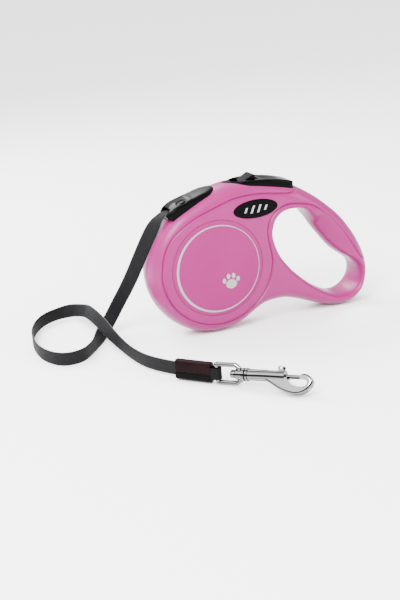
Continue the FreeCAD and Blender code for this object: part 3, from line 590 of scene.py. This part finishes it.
class HousingForm:
    """The half depth of the housing over the XZ plane, in millimetres."""

    def __init__(self):
        outer = arc_points(DISC, DISC_R, ARC_FROM, ARC_TO, ARC_STEP) + BACK_LINE
        self.outer = Track(smooth_line(outer, OUTLINE_STEP, True), True)
        self.hole = Track(smooth_line(HAND_HOLE, HOLE_STEP, True), True)
        line = LINE_TOP + arc_points(*LINE_ARC) + LINE_GRIP
        self.groove = Track(smooth_line(line, LINE_STEP, False), False)
        self.grip = Track(smooth_line(LINE_GRIP, LINE_STEP, False), False)

    def grip_fade(self, p):
        """1 beside the grip's moulded line, fading to 0 towards both of its ends."""
        _, i, _ = self.grip.tree.find((p.x, p.y, 0.0))
        share = i / (len(self.grip.line) - 1)
        return ease((share - FACET_START) / FACET_FADE) * ease((1.0 - share) / FACET_FADE)

    def inside(self, p):
        return self.outer.signed(p) > 0 and self.hole.signed(p) > 0

    def hollow(self, p):
        """The half depth of the space inside, zero where the halves meet."""
        edge = swell((self.outer.signed(p) - SKIN) / OUTER_WIDTH, OUTER_POWER)
        rim = swell((self.hole.signed(p) - SKIN) / OUTER_WIDTH, OUTER_POWER)
        return (HALF_DEPTH - SKIN) * edge * rim

    def depth(self, p):
        d_out = max(0.0, self.outer.signed(p))
        d_hole = max(0.0, self.hole.signed(p))
        d_line = abs(self.groove.signed(p))
        height = swell(d_out / OUTER_WIDTH, OUTER_POWER)
        rim = swell(d_hole / HOLE_WIDTH, HOLE_POWER)
        to_grip = self.grip.signed(p)
        span = d_hole - to_grip
        if to_grip < 0 and span < FACET_SPAN:
            share = ease((span - FACET_MIN) / FACET_RISE) * ease((FACET_SPAN - span) / FACET_FALL)
            share *= self.grip_fade(p)
            t = d_hole / span
            slant = FACET_EDGE + (1 - FACET_EDGE) * t
            slant *= swell(d_hole / FACET_LIP, FACET_POWER)
            rim = rim * (1 - share) + slant * share
        height *= rim
        dip = GROOVE_DEPTH * math.exp(-(d_line / GROOVE_WIDTH) ** 2)
        depth = HALF_DEPTH * height - dip * min(1.0, height * 2)
        if (p - Vector(DISC)).length < PANEL_R:
            depth -= PANEL_RECESS
        return max(0.0, depth)


def thin_out(candidates, taken, gap):
    """Adds the candidates that are at least gap away from what is taken, on a hash grid."""
    for p in candidates:
        x, y = int(math.floor(p.x)), int(math.floor(p.y))
        cells = [(x + dx, y + dy) for dx in (-1, 0, 1) for dy in (-1, 0, 1)]
        near = (q for cell in cells for q in taken["grid"].get(cell, ()))
        if all((p - q).length_squared >= gap * gap for q in near):
            taken["grid"].setdefault((x, y), []).append(p)
            taken["points"].append(p)


def add_line(points, taken, edges, closed):
    """Adds every point of a line, with edges that the triangles have to keep."""
    first = len(taken["points"])
    thin_out(points, taken, 0.0)
    last = len(taken["points"])
    edges += [(i, i + 1) for i in range(first, last - 1)]
    if closed:
        edges.append((last - 1, first))


def add_rings(track, other, depths, taken):
    """Adds points at each depth inside one outline, clear of the other."""
    for depth in depths:
        ring = [p for p in track.offset(depth) if other.signed(p) > RING_CLEAR]
        thin_out(ring, taken, min(ROW_GAP, depth * RING_SHARE))


def housing_plan(form):
    """Triangles over the XZ plane, finer at the edges and along the moulded lines."""
    taken = {"grid": {}, "points": []}
    edges = []
    add_line(form.outer.line, taken, edges, True)
    add_line(form.hole.line, taken, edges, True)
    for radius in (PANEL_R + PANEL_STEP, PANEL_R - PANEL_STEP):
        circle = [Vector(p) for p in arc_points(DISC, radius, 0.0, 360.0, CIRCLE_STEP)][:-1]
        add_line(circle, taken, edges, True)
    add_line([p for p in form.groove.line if form.inside(p)], taken, edges, False)
    for shift in LINE_ROWS:
        thin_out([p for p in form.groove.offset(shift) if form.inside(p)], taken, ROW_GAP)
    add_rings(form.outer, form.hole, ring_depths(OUTER_WIDTH, OUTER_POWER, OUTER_RINGS), taken)
    add_rings(form.hole, form.outer, ring_depths(HOLE_WIDTH, HOLE_POWER, HOLE_RINGS), taken)
    grid = []
    for i in range(GRID_COUNTS[0]):
        for j in range(GRID_COUNTS[1]):
            x = GRID_FROM + i * GRID_STEP + (j % 2) * GRID_STEP / 2
            p = Vector((x, j * GRID_STEP * GRID_ROW))
            if form.outer.signed(p) > GRID_CLEAR and form.hole.signed(p) > GRID_CLEAR:
                grid.append(p)
    thin_out(grid, taken, GRID_GAP)
    points, _, faces, _, _, _ = delaunay_2d_cdt(taken["points"], edges, [], 0, MERGE)
    kept = []
    for face in faces:
        middle = sum((points[i] for i in face), Vector((0.0, 0.0))) / len(face)
        if form.inside(middle):
            kept.append(face)
    return points, kept


def rim_vertices(faces):
    """The vertices on the open edges of a set of faces."""
    count = {}
    for face in faces:
        for a, b in zip(face, face[1:] + face[:1]):
            key = (min(a, b), max(a, b))
            count[key] = count.get(key, 0) + 1
    return {i for key, times in count.items() if times == 1 for i in key}


def face_outwards(mesh):
    work = bmesh.new()
    work.from_mesh(mesh)
    bmesh.ops.recalc_face_normals(work, faces=work.faces)
    work.to_mesh(mesh)
    work.free()


def prisms(name, parts):
    """One object of several prisms, each given as a 2D loop, its two ends and a map to metres."""
    vertices, faces = [], []
    for loop, low, high, place in parts:
        start, count = len(vertices), len(loop)
        for end in (low, high):
            vertices += [place(a, b, end) for a, b in loop]
        faces += [tuple(range(start, start + count))[::-1], tuple(range(start + count, start + 2 * count))]
        for i in range(count):
            j = (i + 1) % count
            faces.append((start + i, start + j, start + count + j, start + count + i))
    mesh = mesh_from(name, vertices, faces, False)
    face_outwards(mesh)
    obj = bpy.data.objects.new(name, mesh)
    bpy.context.scene.collection.objects.link(obj)
    return obj


def row_place(x, z, y):
    return Vector((x, y, z)) * MM


def button_place(u, v, w):
    """From the button's own directions (u back, v sideways, w up) to metres."""
    tilt = math.radians(BUTTON_TILT)
    x = BUTTON_PLACE[0] + u * math.cos(tilt) + w * math.sin(tilt)
    z = BUTTON_PLACE[1] - u * math.sin(tilt) + w * math.cos(tilt)
    return Vector((x, v, z)) * MM


def button_loop(inset):
    mirrored = [(u, -v) for u, v in BUTTON_PLAN[-2:0:-1]]
    line = Track(smooth_line(BUTTON_PLAN + mirrored, BUTTON_STEP, True), True)
    return [tuple(p) for p in line.offset(inset)]


def carve(obj, parts):
    """Cuts prisms out of the object."""
    tool = prisms("cutter", parts)
    cut = obj.modifiers.new("cut", "BOOLEAN")
    cut.operation = "DIFFERENCE"
    cut.solver = "EXACT"
    cut.object = tool
    bpy.context.view_layer.update()
    graph = bpy.context.evaluated_depsgraph_get()
    mesh = bpy.data.meshes.new_from_object(obj.evaluated_get(graph))
    obj.modifiers.clear()
    obj.data = mesh
    bpy.data.objects.remove(tool)


def smooth_with_creases(mesh):
    for polygon in mesh.polygons:
        polygon.use_smooth = True
    mesh.set_sharp_from_angle(angle=SHARP)


def housing_half(form, plan, side, name):
    points, faces = plan
    rim = rim_vertices(faces)
    vertices = []
    for i, p in enumerate(points):
        depth = 0.0 if i in rim else form.depth(p)
        vertices.append((p.x * MM, side * depth * MM, p.y * MM))
    inner = {}
    for i, p in enumerate(points):
        if i in rim:
            inner[i] = i
        else:
            inner[i] = len(vertices)
            under = min(form.hollow(p), max(0.0, form.depth(p) - SKIN))
            vertices.append((p.x * MM, side * under * MM, p.y * MM))
    skins = [tuple(face) for face in faces] + [tuple(inner[i] for i in face)[::-1] for face in faces]
    mesh = mesh_from(name, vertices, skins)
    face_outwards(mesh)
    half = new_object(name, mesh, "housing", "shell_pink")
    cuts = [(button_loop(-WELL_GROW), *WELL_W, button_place)]
    if side > 0:
        radius, low, high = SCREW_WELL
        for x, z in SCREWS:
            loop = arc_points((x, z), radius, 0.0, 360.0, WELL_STEP)[:-1]
            cuts.append((loop, low, high, row_place))
    carve(half, cuts)
    smooth_with_creases(half.data)
    return half


def make_housing():
    form = HousingForm()
    plan = housing_plan(form)
    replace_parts(housing_half(form, plan, -1, "housing_front"), "front_shell")
    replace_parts(housing_half(form, plan, 1, "housing_rear"), "rear_shell")


# ---------------------------------------------------------------- trim on the flat faces

TRIM_CENTRE = (-31.5, 42.0)
TRIM_R = 27.0
TRIM_WIDTH = (0.35, 1.5)
TRIM_THICK_AT = 190.0
TRIM_POWER = 1.5
TRIM_STEPS = 120
TRIM_LOW = 12.9
TRIM_HIGH = 13.1
PAW_CENTRE = (-24.0, 31.0)
PAW_PAD = (3.6, 2.9)
PAD_SIDES = 40
TOE_SIDES = 24
# Each toe's place beside the pad, and its half width and half height.
PAW_TOES = [(-4.6, 2.6, 1.15, 1.6), (-1.7, 5.0, 1.2, 1.7), (1.7, 5.0, 1.2, 1.7), (4.6, 2.6, 1.15, 1.6)]
BADGE_CENTRE = (-4.4, 75.2)
BADGE_FACE = 13.6
# Each bar's place and half height.
BADGE_BARS = [(-6.6, 1.5), (-2.2, 2.3), (2.2, 2.3), (6.6, 1.5)]
BAR_WIDTH = 1.3
BAR_SLANT = 0.9
BAR_SINK, BAR_RISE = 0.1, 0.08


def plate_faces(loop, low, high, side, start):
    """A flat plate through a convex 2D loop, as vertices and faces."""
    count = len(loop)
    vertices = [(a * MM, side * y * MM, b * MM) for y in (low, high) for a, b in loop]
    top = tuple(range(start + count, start + 2 * count))
    faces = [top if side < 0 else top[::-1]]
    for i in range(count):
        j = (i + 1) % count
        quad = (start + i, start + j, start + count + j, start + count + i)
        faces.append(quad if side < 0 else quad[::-1])
    return vertices, faces


def plates(name, loops, low, high, side):
    vertices, faces = [], []
    for loop in loops:
        more_vertices, more_faces = plate_faces(loop, low, high, side, len(vertices))
        vertices += more_vertices
        faces += more_faces
    return new_object(name, mesh_from(name, vertices, faces, False), "housing", "trim_silver")


def ellipse(centre, a, b, count):
    turns = [2 * math.pi * i / count for i in range(count)]
    return [(centre[0] + a * math.cos(t), centre[1] + b * math.sin(t)) for t in turns]


def trim_ring():
    """The tapering line round the panel, as short plates end to end."""
    pieces = []
    for i in range(TRIM_STEPS):
        corners = []
        for step, sign in ((i, 1), (i + 1, 1), (i + 1, -1), (i, -1)):
            angle = 2 * math.pi * step / TRIM_STEPS
            lean = 0.5 + 0.5 * math.cos(angle - math.radians(TRIM_THICK_AT))
            half = (TRIM_WIDTH[0] + (TRIM_WIDTH[1] - TRIM_WIDTH[0]) * lean ** TRIM_POWER) / 2
            radius = TRIM_R + sign * half
            corners.append((TRIM_CENTRE[0] + radius * math.cos(angle),
                            TRIM_CENTRE[1] + radius * math.sin(angle)))
        pieces.append(corners)
    return pieces


def make_trim():
    paw = [ellipse(PAW_CENTRE, *PAW_PAD, PAD_SIDES)]
    for x, z, a, b in PAW_TOES:
        paw.append(ellipse((PAW_CENTRE[0] + x, PAW_CENTRE[1] + z), a, b, TOE_SIDES))
    bars = []
    for x, half in BADGE_BARS:
        cx, cz = BADGE_CENTRE[0] + x, BADGE_CENTRE[1]
        lean = half * BAR_SLANT / 2
        bars.append([(cx - BAR_WIDTH / 2 - lean, cz - half), (cx + BAR_WIDTH / 2 - lean, cz - half),
                     (cx + BAR_WIDTH / 2 + lean, cz + half), (cx - BAR_WIDTH / 2 + lean, cz + half)])
    for side, name in ((-1, "front"), (1, "rear")):
        plates("panel_line_" + name, trim_ring(), TRIM_LOW, TRIM_HIGH, side)
        plates("panel_paw_" + name, paw, TRIM_LOW, TRIM_HIGH, side)
        plates("badge_bars_" + name, bars, BADGE_FACE - BAR_SINK, BADGE_FACE + BAR_RISE, side)


# ---------------------------------------------------------------- outlet

OUTLET_TOP = [(-59.7, 76.8), (-59.2, 79.2), (-57.0, 81.9), (-52.5, 84.4), (-45.5, 86.6), (-42.2, 87.3),
              (-37.5, 88.7), (-32.0, 90.1), (-28.0, 90.9), (-26.3, 90.3)]
OUTLET_LOW = [(-59.7, 77.5), (-58.6, 76.3), (-56.8, 75.3), (-50.0, 74.8), (-41.0, 79.0), (-32.0, 86.6),
              (-26.3, 88.6)]
OUTLET_HALF = [(-59.7, 7.4), (-57.0, 8.6), (-52.0, 9.0), (-44.0, 8.8), (-34.6, 8.4)]
OUTLET_END = (-34.6, 8.4)
OUTLET_EDGE = 1.5
OUTLET_ROWS = 40
OUTLET_STEP = 0.45
OUTLET_NARROWEST = 0.3
CROWN = 0.7
DIMPLE = (-48.8, -4.6, 2.7, 0.7)       # x, y, radius and depth
DIMPLE_WIDTH = 0.75
TONGUE_FROM = -45.5
TONGUE_INSET = 1.3
TONGUE_RISE = 0.4
TONGUE_RUN = 1.5
TONGUE_T = 2.0
TONGUE_EDGE = 0.5
SLOT = [(-64.0, 78.4), (-48.0, 77.1), (-48.0, 81.3), (-64.0, 82.6)]
SLOT_HALF_W = 5.2


def along_keys(keys, x):
    """Straight-line interpolation in a list of (x, value)."""
    if x <= keys[0][0]:
        return keys[0][1]
    for (x0, a), (x1, b) in zip(keys, keys[1:]):
        if x <= x1:
            return a + (b - a) * (x - x0) / (x1 - x0)
    return keys[-1][1]


def outlet_half(x):
    centre, radius = OUTLET_END
    if x > centre:
        return math.sqrt(max(0.0, radius * radius - (x - centre) ** 2))
    return along_keys(OUTLET_HALF, x)


def edge_drop(distance, radius):
    """How far a rounded edge falls away, this far in from the side."""
    if distance >= radius:
        return 0.0
    return radius - math.sqrt(max(0.0, radius * radius - (radius - distance) ** 2))


def dimple(x, y):
    away = math.hypot(x - DIMPLE[0], y - DIMPLE[1])
    return DIMPLE[3] * math.exp(-((away - DIMPLE[2]) / DIMPLE_WIDTH) ** 2)


def loft(name, rings):
    """A closed skin through rings of the same number of points, capped at both ends."""
    count = len(rings[0])
    vertices = [point for ring in rings for point in ring]
    faces = []
    for i in range(len(rings) - 1):
        for j in range(count):
            k = (j + 1) % count
            faces.append((i * count + j, i * count + k, (i + 1) * count + k, (i + 1) * count + j))
    faces.append(tuple(range(count))[::-1])
    faces.append(tuple(range((len(rings) - 1) * count, len(rings) * count)))
    mesh = mesh_from(name, vertices, faces)
    face_outwards(mesh)
    return mesh


def outlet_ring(x, top, low, half, edge, dip):
    """One slice of the outlet, across the leash."""
    ring = []
    for i in range(OUTLET_ROWS + 1):
        v = math.sin(math.pi / 2 * (2 * i / OUTLET_ROWS - 1))
        z = top - CROWN * v * v - edge_drop(half * (1 - abs(v)), min(edge, half))
        if dip:
            z -= dimple(x, half * v)
        ring.append(Vector((x, half * v, z)) * MM)
    ring.append(Vector((x, half, low)) * MM)
    ring.append(Vector((x, -half, low)) * MM)
    return ring


def make_outlet():
    line = smooth_line(OUTLET_TOP, OUTLET_STEP, False)
    rings = []
    for p in line:
        half = max(OUTLET_NARROWEST, outlet_half(p.x))
        rings.append(outlet_ring(p.x, p.y, along_keys(OUTLET_LOW, p.x), half, OUTLET_EDGE, True))
    mesh = loft("outlet_body", rings)
    collar = new_object("outlet_body", mesh, "housing", "black_gloss", ["outlet_collar"])
    carve(collar, [(SLOT, -SLOT_HALF_W, SLOT_HALF_W, row_place)])
    smooth_with_creases(collar.data)
    rings = []
    for p in line:
        half = outlet_half(p.x + TONGUE_INSET) - TONGUE_INSET
        if p.x < TONGUE_FROM or half < OUTLET_NARROWEST:
            continue
        top = p.y + TONGUE_RISE * ease((p.x - TONGUE_FROM) / TONGUE_RUN)
        rings.append(outlet_ring(p.x, top, p.y - TONGUE_T, half, TONGUE_EDGE, False))
    mesh = loft("outlet_tongue", rings)
    tongue = new_object("outlet_tongue", mesh, "housing", "grey_satin", ["outlet_plate"])
    smooth_with_creases(tongue.data)


# ---------------------------------------------------------------- brake button

BUTTON_TOP = [(-23.4, -1.4), (-11.0, 0.5), (0.8, 1.5), (12.0, 1.3), (23.4, -0.1)]
BUTTON_SKIRT = -7.0
BUTTON_EDGE = 1.3
BUTTON_LIP = 0.25
BUTTON_CORE = 13.0
CROWN_STEP = 0.6
CROWN_SHARES = (0.2, 0.4, 0.6, 0.8, 0.95)
SEAM_DROPS = (2.6, 2.3)
EDGE_STEPS = 6
BUTTON_WALL = 1.6
BUTTON_ROOF = -3.1
WINDOW = (-18.0, -0.6, 5.3)            # the front end, the back end and the half width
WINDOW_FLOOR = -1.9
CUT_TOP = 8.0
OVERCUT = 1.0
CORNER_GAP = 0.05
RIB_COUNT = 6
RIB_PITCH = 2.6
RIB_R = 0.5
RIB_W = 1.6
RIB_SIDES = 12
RIB_SLOPE = 0.045
RIB_FROM_TO = (1.5, 19.5)


def rib_place(v, w, u):
    """The grooves follow the button's crown down towards the back."""
    return button_place(u, v, w - RIB_SLOPE * (u - RIB_FROM_TO[0]))


def button_skins():
    """Rings from the skirt up over the rounded edge and in to the crown."""
    crown = [(p.x, p.y) for p in smooth_line(BUTTON_TOP, CROWN_STEP, False)]
    rings = [(0.0, None), (0.0, SEAM_DROPS[0]), (BUTTON_LIP, SEAM_DROPS[1])]
    for i in range(EDGE_STEPS + 1):
        turn = math.pi / 2 * i / EDGE_STEPS
        rings.append((BUTTON_LIP + BUTTON_EDGE * (1 - math.cos(turn)), BUTTON_EDGE * (1 - math.sin(turn))))
    skins = []
    for inset, drop in rings:
        ring = []
        for u, v in button_loop(inset):
            w = BUTTON_SKIRT if drop is None else along_keys(crown, u) - drop
            ring.append(button_place(u, v, w))
        skins.append(ring)
    rim = button_loop(rings[-1][0])
    for share in CROWN_SHARES:
        ring = []
        for u, v in rim:
            core = min(BUTTON_CORE, max(-BUTTON_CORE, u))
            u, v = u + (core - u) * share, v * (1 - share)
            ring.append(button_place(u, v, along_keys(crown, u)))
        skins.append(ring)
    return skins


def button_cuts():
    """The lock's window, the hollow under the button and the grooves on its top."""
    window = []
    for u, v in button_loop(BUTTON_WALL):
        corner = (min(WINDOW[1], max(WINDOW[0], u)), min(WINDOW[2], max(-WINDOW[2], v)))
        if not window or (Vector(corner) - Vector(window[-1])).length > CORNER_GAP:
            window.append(corner)
    cuts = [(window, WINDOW_FLOOR, CUT_TOP, button_place),
            (button_loop(BUTTON_WALL), BUTTON_SKIRT - OVERCUT, BUTTON_ROOF, button_place)]
    for i in range(RIB_COUNT):
        v = RIB_PITCH * (i - (RIB_COUNT - 1) / 2)
        cuts.append((ellipse((v, RIB_W), RIB_R, RIB_R, RIB_SIDES), *RIB_FROM_TO, rib_place))
    return cuts


def make_button():
    mesh = loft("brake_button_top", button_skins())
    button = new_object("brake_button_top", mesh, "brake", "black_gloss", ["brake_button"])
    carve(button, button_cuts())
    smooth_with_creases(button.data)


# ---------------------------------------------------------------- return springs

SPRINGS = [("brake_spring", "housing", "brake_press"), ("plunger_spring", "snap", "plunger_slide")]


def make_springs():
    """The springs of the button and the plunger, each a copy of its node's mesh."""
    coils = {}
    for node, body, name in SPRINGS:
        mesh = NODES[node].data.copy()
        mesh.transform(NODES[node].matrix_world)
        coil = new_object(node + "_coil", mesh, body, "spring_steel", [node])
        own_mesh(coil)
        coils[node] = coil
    return coils


# ---------------------------------------------------------------- sleeve

END = Vector((-84.0, -66.6, 6.6))
END_HEADING = -50.0
SLEEVE_L = 22.5
SLEEVE_HALF = (2.7, 5.9)
SLEEVE_CORNER = 2.1
SLEEVE_CREASE = -0.95
SLEEVE_CREASE_DEPTH = 0.4
SLEEVE_CREASE_WIDTH = 0.45
SLEEVE_SIDE_STEPS = 24
SLEEVE_TURN_STEPS = 17
SLEEVE_RINGS = 30
SLEEVE_END = [(0.0, 0.45), (0.12, 0.18), (0.4, 0.0)]       # how far the section shrinks, this far from an end


def end_place(u, v, w):
    """From the sleeve's own directions (u forward, v sideways, w up) to metres."""
    turn = math.radians(END_HEADING)
    across = Vector((u * math.cos(turn) - v * math.sin(turn), u * math.sin(turn) + v * math.cos(turn), w))
    return (END + across) * MM


def sleeve_section():
    """A rounded oblong with a crease pressed into both flat sides, as (v, w)."""
    a, b = SLEEVE_HALF[0] - SLEEVE_CORNER, SLEEVE_HALF[1] - SLEEVE_CORNER
    section = []
    for sign in (1, -1):
        for i in range(SLEEVE_SIDE_STEPS + 1):
            w = sign * b * (2 * i / SLEEVE_SIDE_STEPS - 1)
            crease = SLEEVE_CREASE_DEPTH * math.exp(-((w - SLEEVE_CREASE) / SLEEVE_CREASE_WIDTH) ** 2)
            section.append((sign * (SLEEVE_HALF[0] - crease), w))
        for i in range(1, SLEEVE_TURN_STEPS):
            turn = math.pi * i / SLEEVE_TURN_STEPS
            v = (a if 2 * i < SLEEVE_TURN_STEPS else -a) + SLEEVE_CORNER * math.cos(turn)
            section.append((sign * v, sign * (b + SLEEVE_CORNER * math.sin(turn))))
    return section


def make_sleeve():
    section = sleeve_section()
    middle = [(SLEEVE_L * i / SLEEVE_RINGS, 0.0) for i in range(1, SLEEVE_RINGS)]
    rings = SLEEVE_END + middle + [(SLEEVE_L - u, shrink) for u, shrink in SLEEVE_END[::-1]]
    skins = []
    for u, shrink in rings:
        share_v = 1 - shrink / SLEEVE_HALF[0]
        share_w = 1 - shrink / SLEEVE_HALF[1]
        skins.append([end_place(u, v * share_v, w * share_w) for v, w in section])
    sleeve = new_object("sleeve", loft("sleeve", skins), "housing", "leather", ["tape_sleeve"])
    smooth_with_creases(sleeve.data)
    return sleeve


# ---------------------------------------------------------------- tape

TAPE_ROUTE = [(-48.5, 0.0, 79.3), (-58.5, -0.3, 80.4), (-65.0, -2.0, 76.0), (-71.0, -3.0, 68.0),
              (-76.3, -1.0, 57.5), (-79.5, 7.0, 44.5), (-82.5, 17.0, 31.5), (-85.8, 24.6, 21.2),
              (-89.2, 27.8, 13.6), (-94.2, 26.6, 7.6), (-100.0, 20.0, 5.0), (-106.5, 10.0, 4.4),
              (-112.8, 0.0, 4.4), (-122.0, -10.5, 4.4), (-135.0, -10.5, 4.4), (-142.8, 6.0, 4.4),
              (-142.2, 30.0, 4.4), (-136.0, 53.0, 4.4), (-123.5, 71.5, 4.4), (-105.0, 76.5, 5.2),
              (-99.5, 57.0, 9.5), (-101.8, 37.0, 14.2), (-101.8, 16.0, 14.2), (-100.6, -9.0, 10.0),
              (-97.8, -34.0, 6.8), (-92.0, -55.0, 6.6), (-82.0, -69.0, 6.6)]
TAPE_WIDTH = 8.5 * MM
TAPE_HALF_T = 0.4 * MM
TAPE_COLUMNS = 12
TAPE_EDGE = 0.14          # the rounded share of half the width
ROUTE_RESOLUTION = 24
# Share of the tape's length, and the direction its width points in there.
TAPE_TWIST = [(0.00, (0.0, 1.0, 0.0)), (0.02, (0.0, 1.0, 0.0)), (0.07, (-0.55, 0.50, 0.60)),
              (0.12, (-0.69, 0.42, 0.40)), (0.19, (-0.70, 0.43, 0.45)), (0.25, (-0.60, 0.40, 0.62)),
              (0.33, (0.0, 0.0, 1.0)), (0.58, (0.0, 0.0, 1.0)), (0.67, (0.45, 0.0, 0.88)),
              (0.78, (0.45, 0.0, 0.88)), (0.90, (0.0, 0.0, 1.0)), (1.00, (0.0, 0.0, 1.0))]


def route_points(points):
    """The smooth line through a route's control points, as Blender evaluates it."""
    data = bpy.data.curves.new("route", "CURVE")
    data.dimensions = "3D"
    data.resolution_u = ROUTE_RESOLUTION
    spline = data.splines.new("NURBS")
    spline.points.add(len(points) - 1)
    for target, point in zip(spline.points, points):
        target.co = (*[c * MM for c in point], 1.0)
    spline.order_u = 3
    spline.use_endpoint_u = True
    holder = bpy.data.objects.new("route", data)
    mesh = bpy.data.meshes.new_from_object(holder)
    line = [vertex.co.copy() for vertex in mesh.vertices]
    bpy.data.meshes.remove(mesh)
    bpy.data.objects.remove(holder)
    bpy.data.curves.remove(data)
    return line


def distances(line):
    total = [0.0]
    for a, b in zip(line, line[1:]):
        total.append(total[-1] + (b - a).length)
    return total


def keyed(keys, share):
    for (s0, a), (s1, b) in zip(keys, keys[1:]):
        if share <= s1:
            return Vector(a).lerp(Vector(b), ease((share - s0) / (s1 - s0)))
    return Vector(keys[-1][1])


def ribbon(name, line, width, half_t, twist):
    """A flat tape with rounded edges along the line. Returns the mesh, with its UVs."""
    along = distances(line)
    section = []
    for i in range(TAPE_COLUMNS + 1):
        v = -1 + 2 * i / TAPE_COLUMNS
        edge = max(0.0, abs(v) - (1 - TAPE_EDGE)) / TAPE_EDGE
        section.append((v, math.sqrt(max(0.0, 1 - edge * edge)) if edge < 1 else 0.0))
    ring = [(v, t) for v, t in section] + [(v, -t) for v, t in section[-2:0:-1]]
    vertices = []
    uvs = []
    for i, point in enumerate(line):
        tangent = (line[min(i + 1, len(line) - 1)] - line[max(i - 1, 0)]).normalized()
        across = keyed(twist, along[i] / along[-1])
        across = (across - tangent * across.dot(tangent)).normalized()
        normal = tangent.cross(across)
        for v, t in ring:
            vertices.append(point + across * (v * width / 2) + normal * (t * half_t))
            uvs.append((along[i], (v + 1) / 2))
    count = len(ring)
    faces = []
    for i in range(len(line) - 1):
        for j in range(count):
            k = (j + 1) % count
            faces.append((i * count + j, i * count + k, (i + 1) * count + k, (i + 1) * count + j))
    faces.append(tuple(range(count))[::-1])
    faces.append(tuple(range((len(line) - 1) * count, len(line) * count)))
    mesh = mesh_from(name, vertices, faces)
    layer = mesh.uv_layers.new(name="weave")
    for loop in mesh.loops:
        layer.data[loop.index].uv = uvs[loop.vertex_index]
    return mesh


def make_tape():
    line = route_points(TAPE_ROUTE)
    mesh = ribbon("tape_ribbon", line, TAPE_WIDTH, TAPE_HALF_T, TAPE_TWIST)
    tape = new_object("tape_ribbon", mesh, "housing", "webbing", ["tape"])


make_camera()
make_studio()
dress_nodes()
make_housing()
make_trim()
make_outlet()
make_button()
sleeve = make_sleeve()
coils = make_springs()
make_tape()
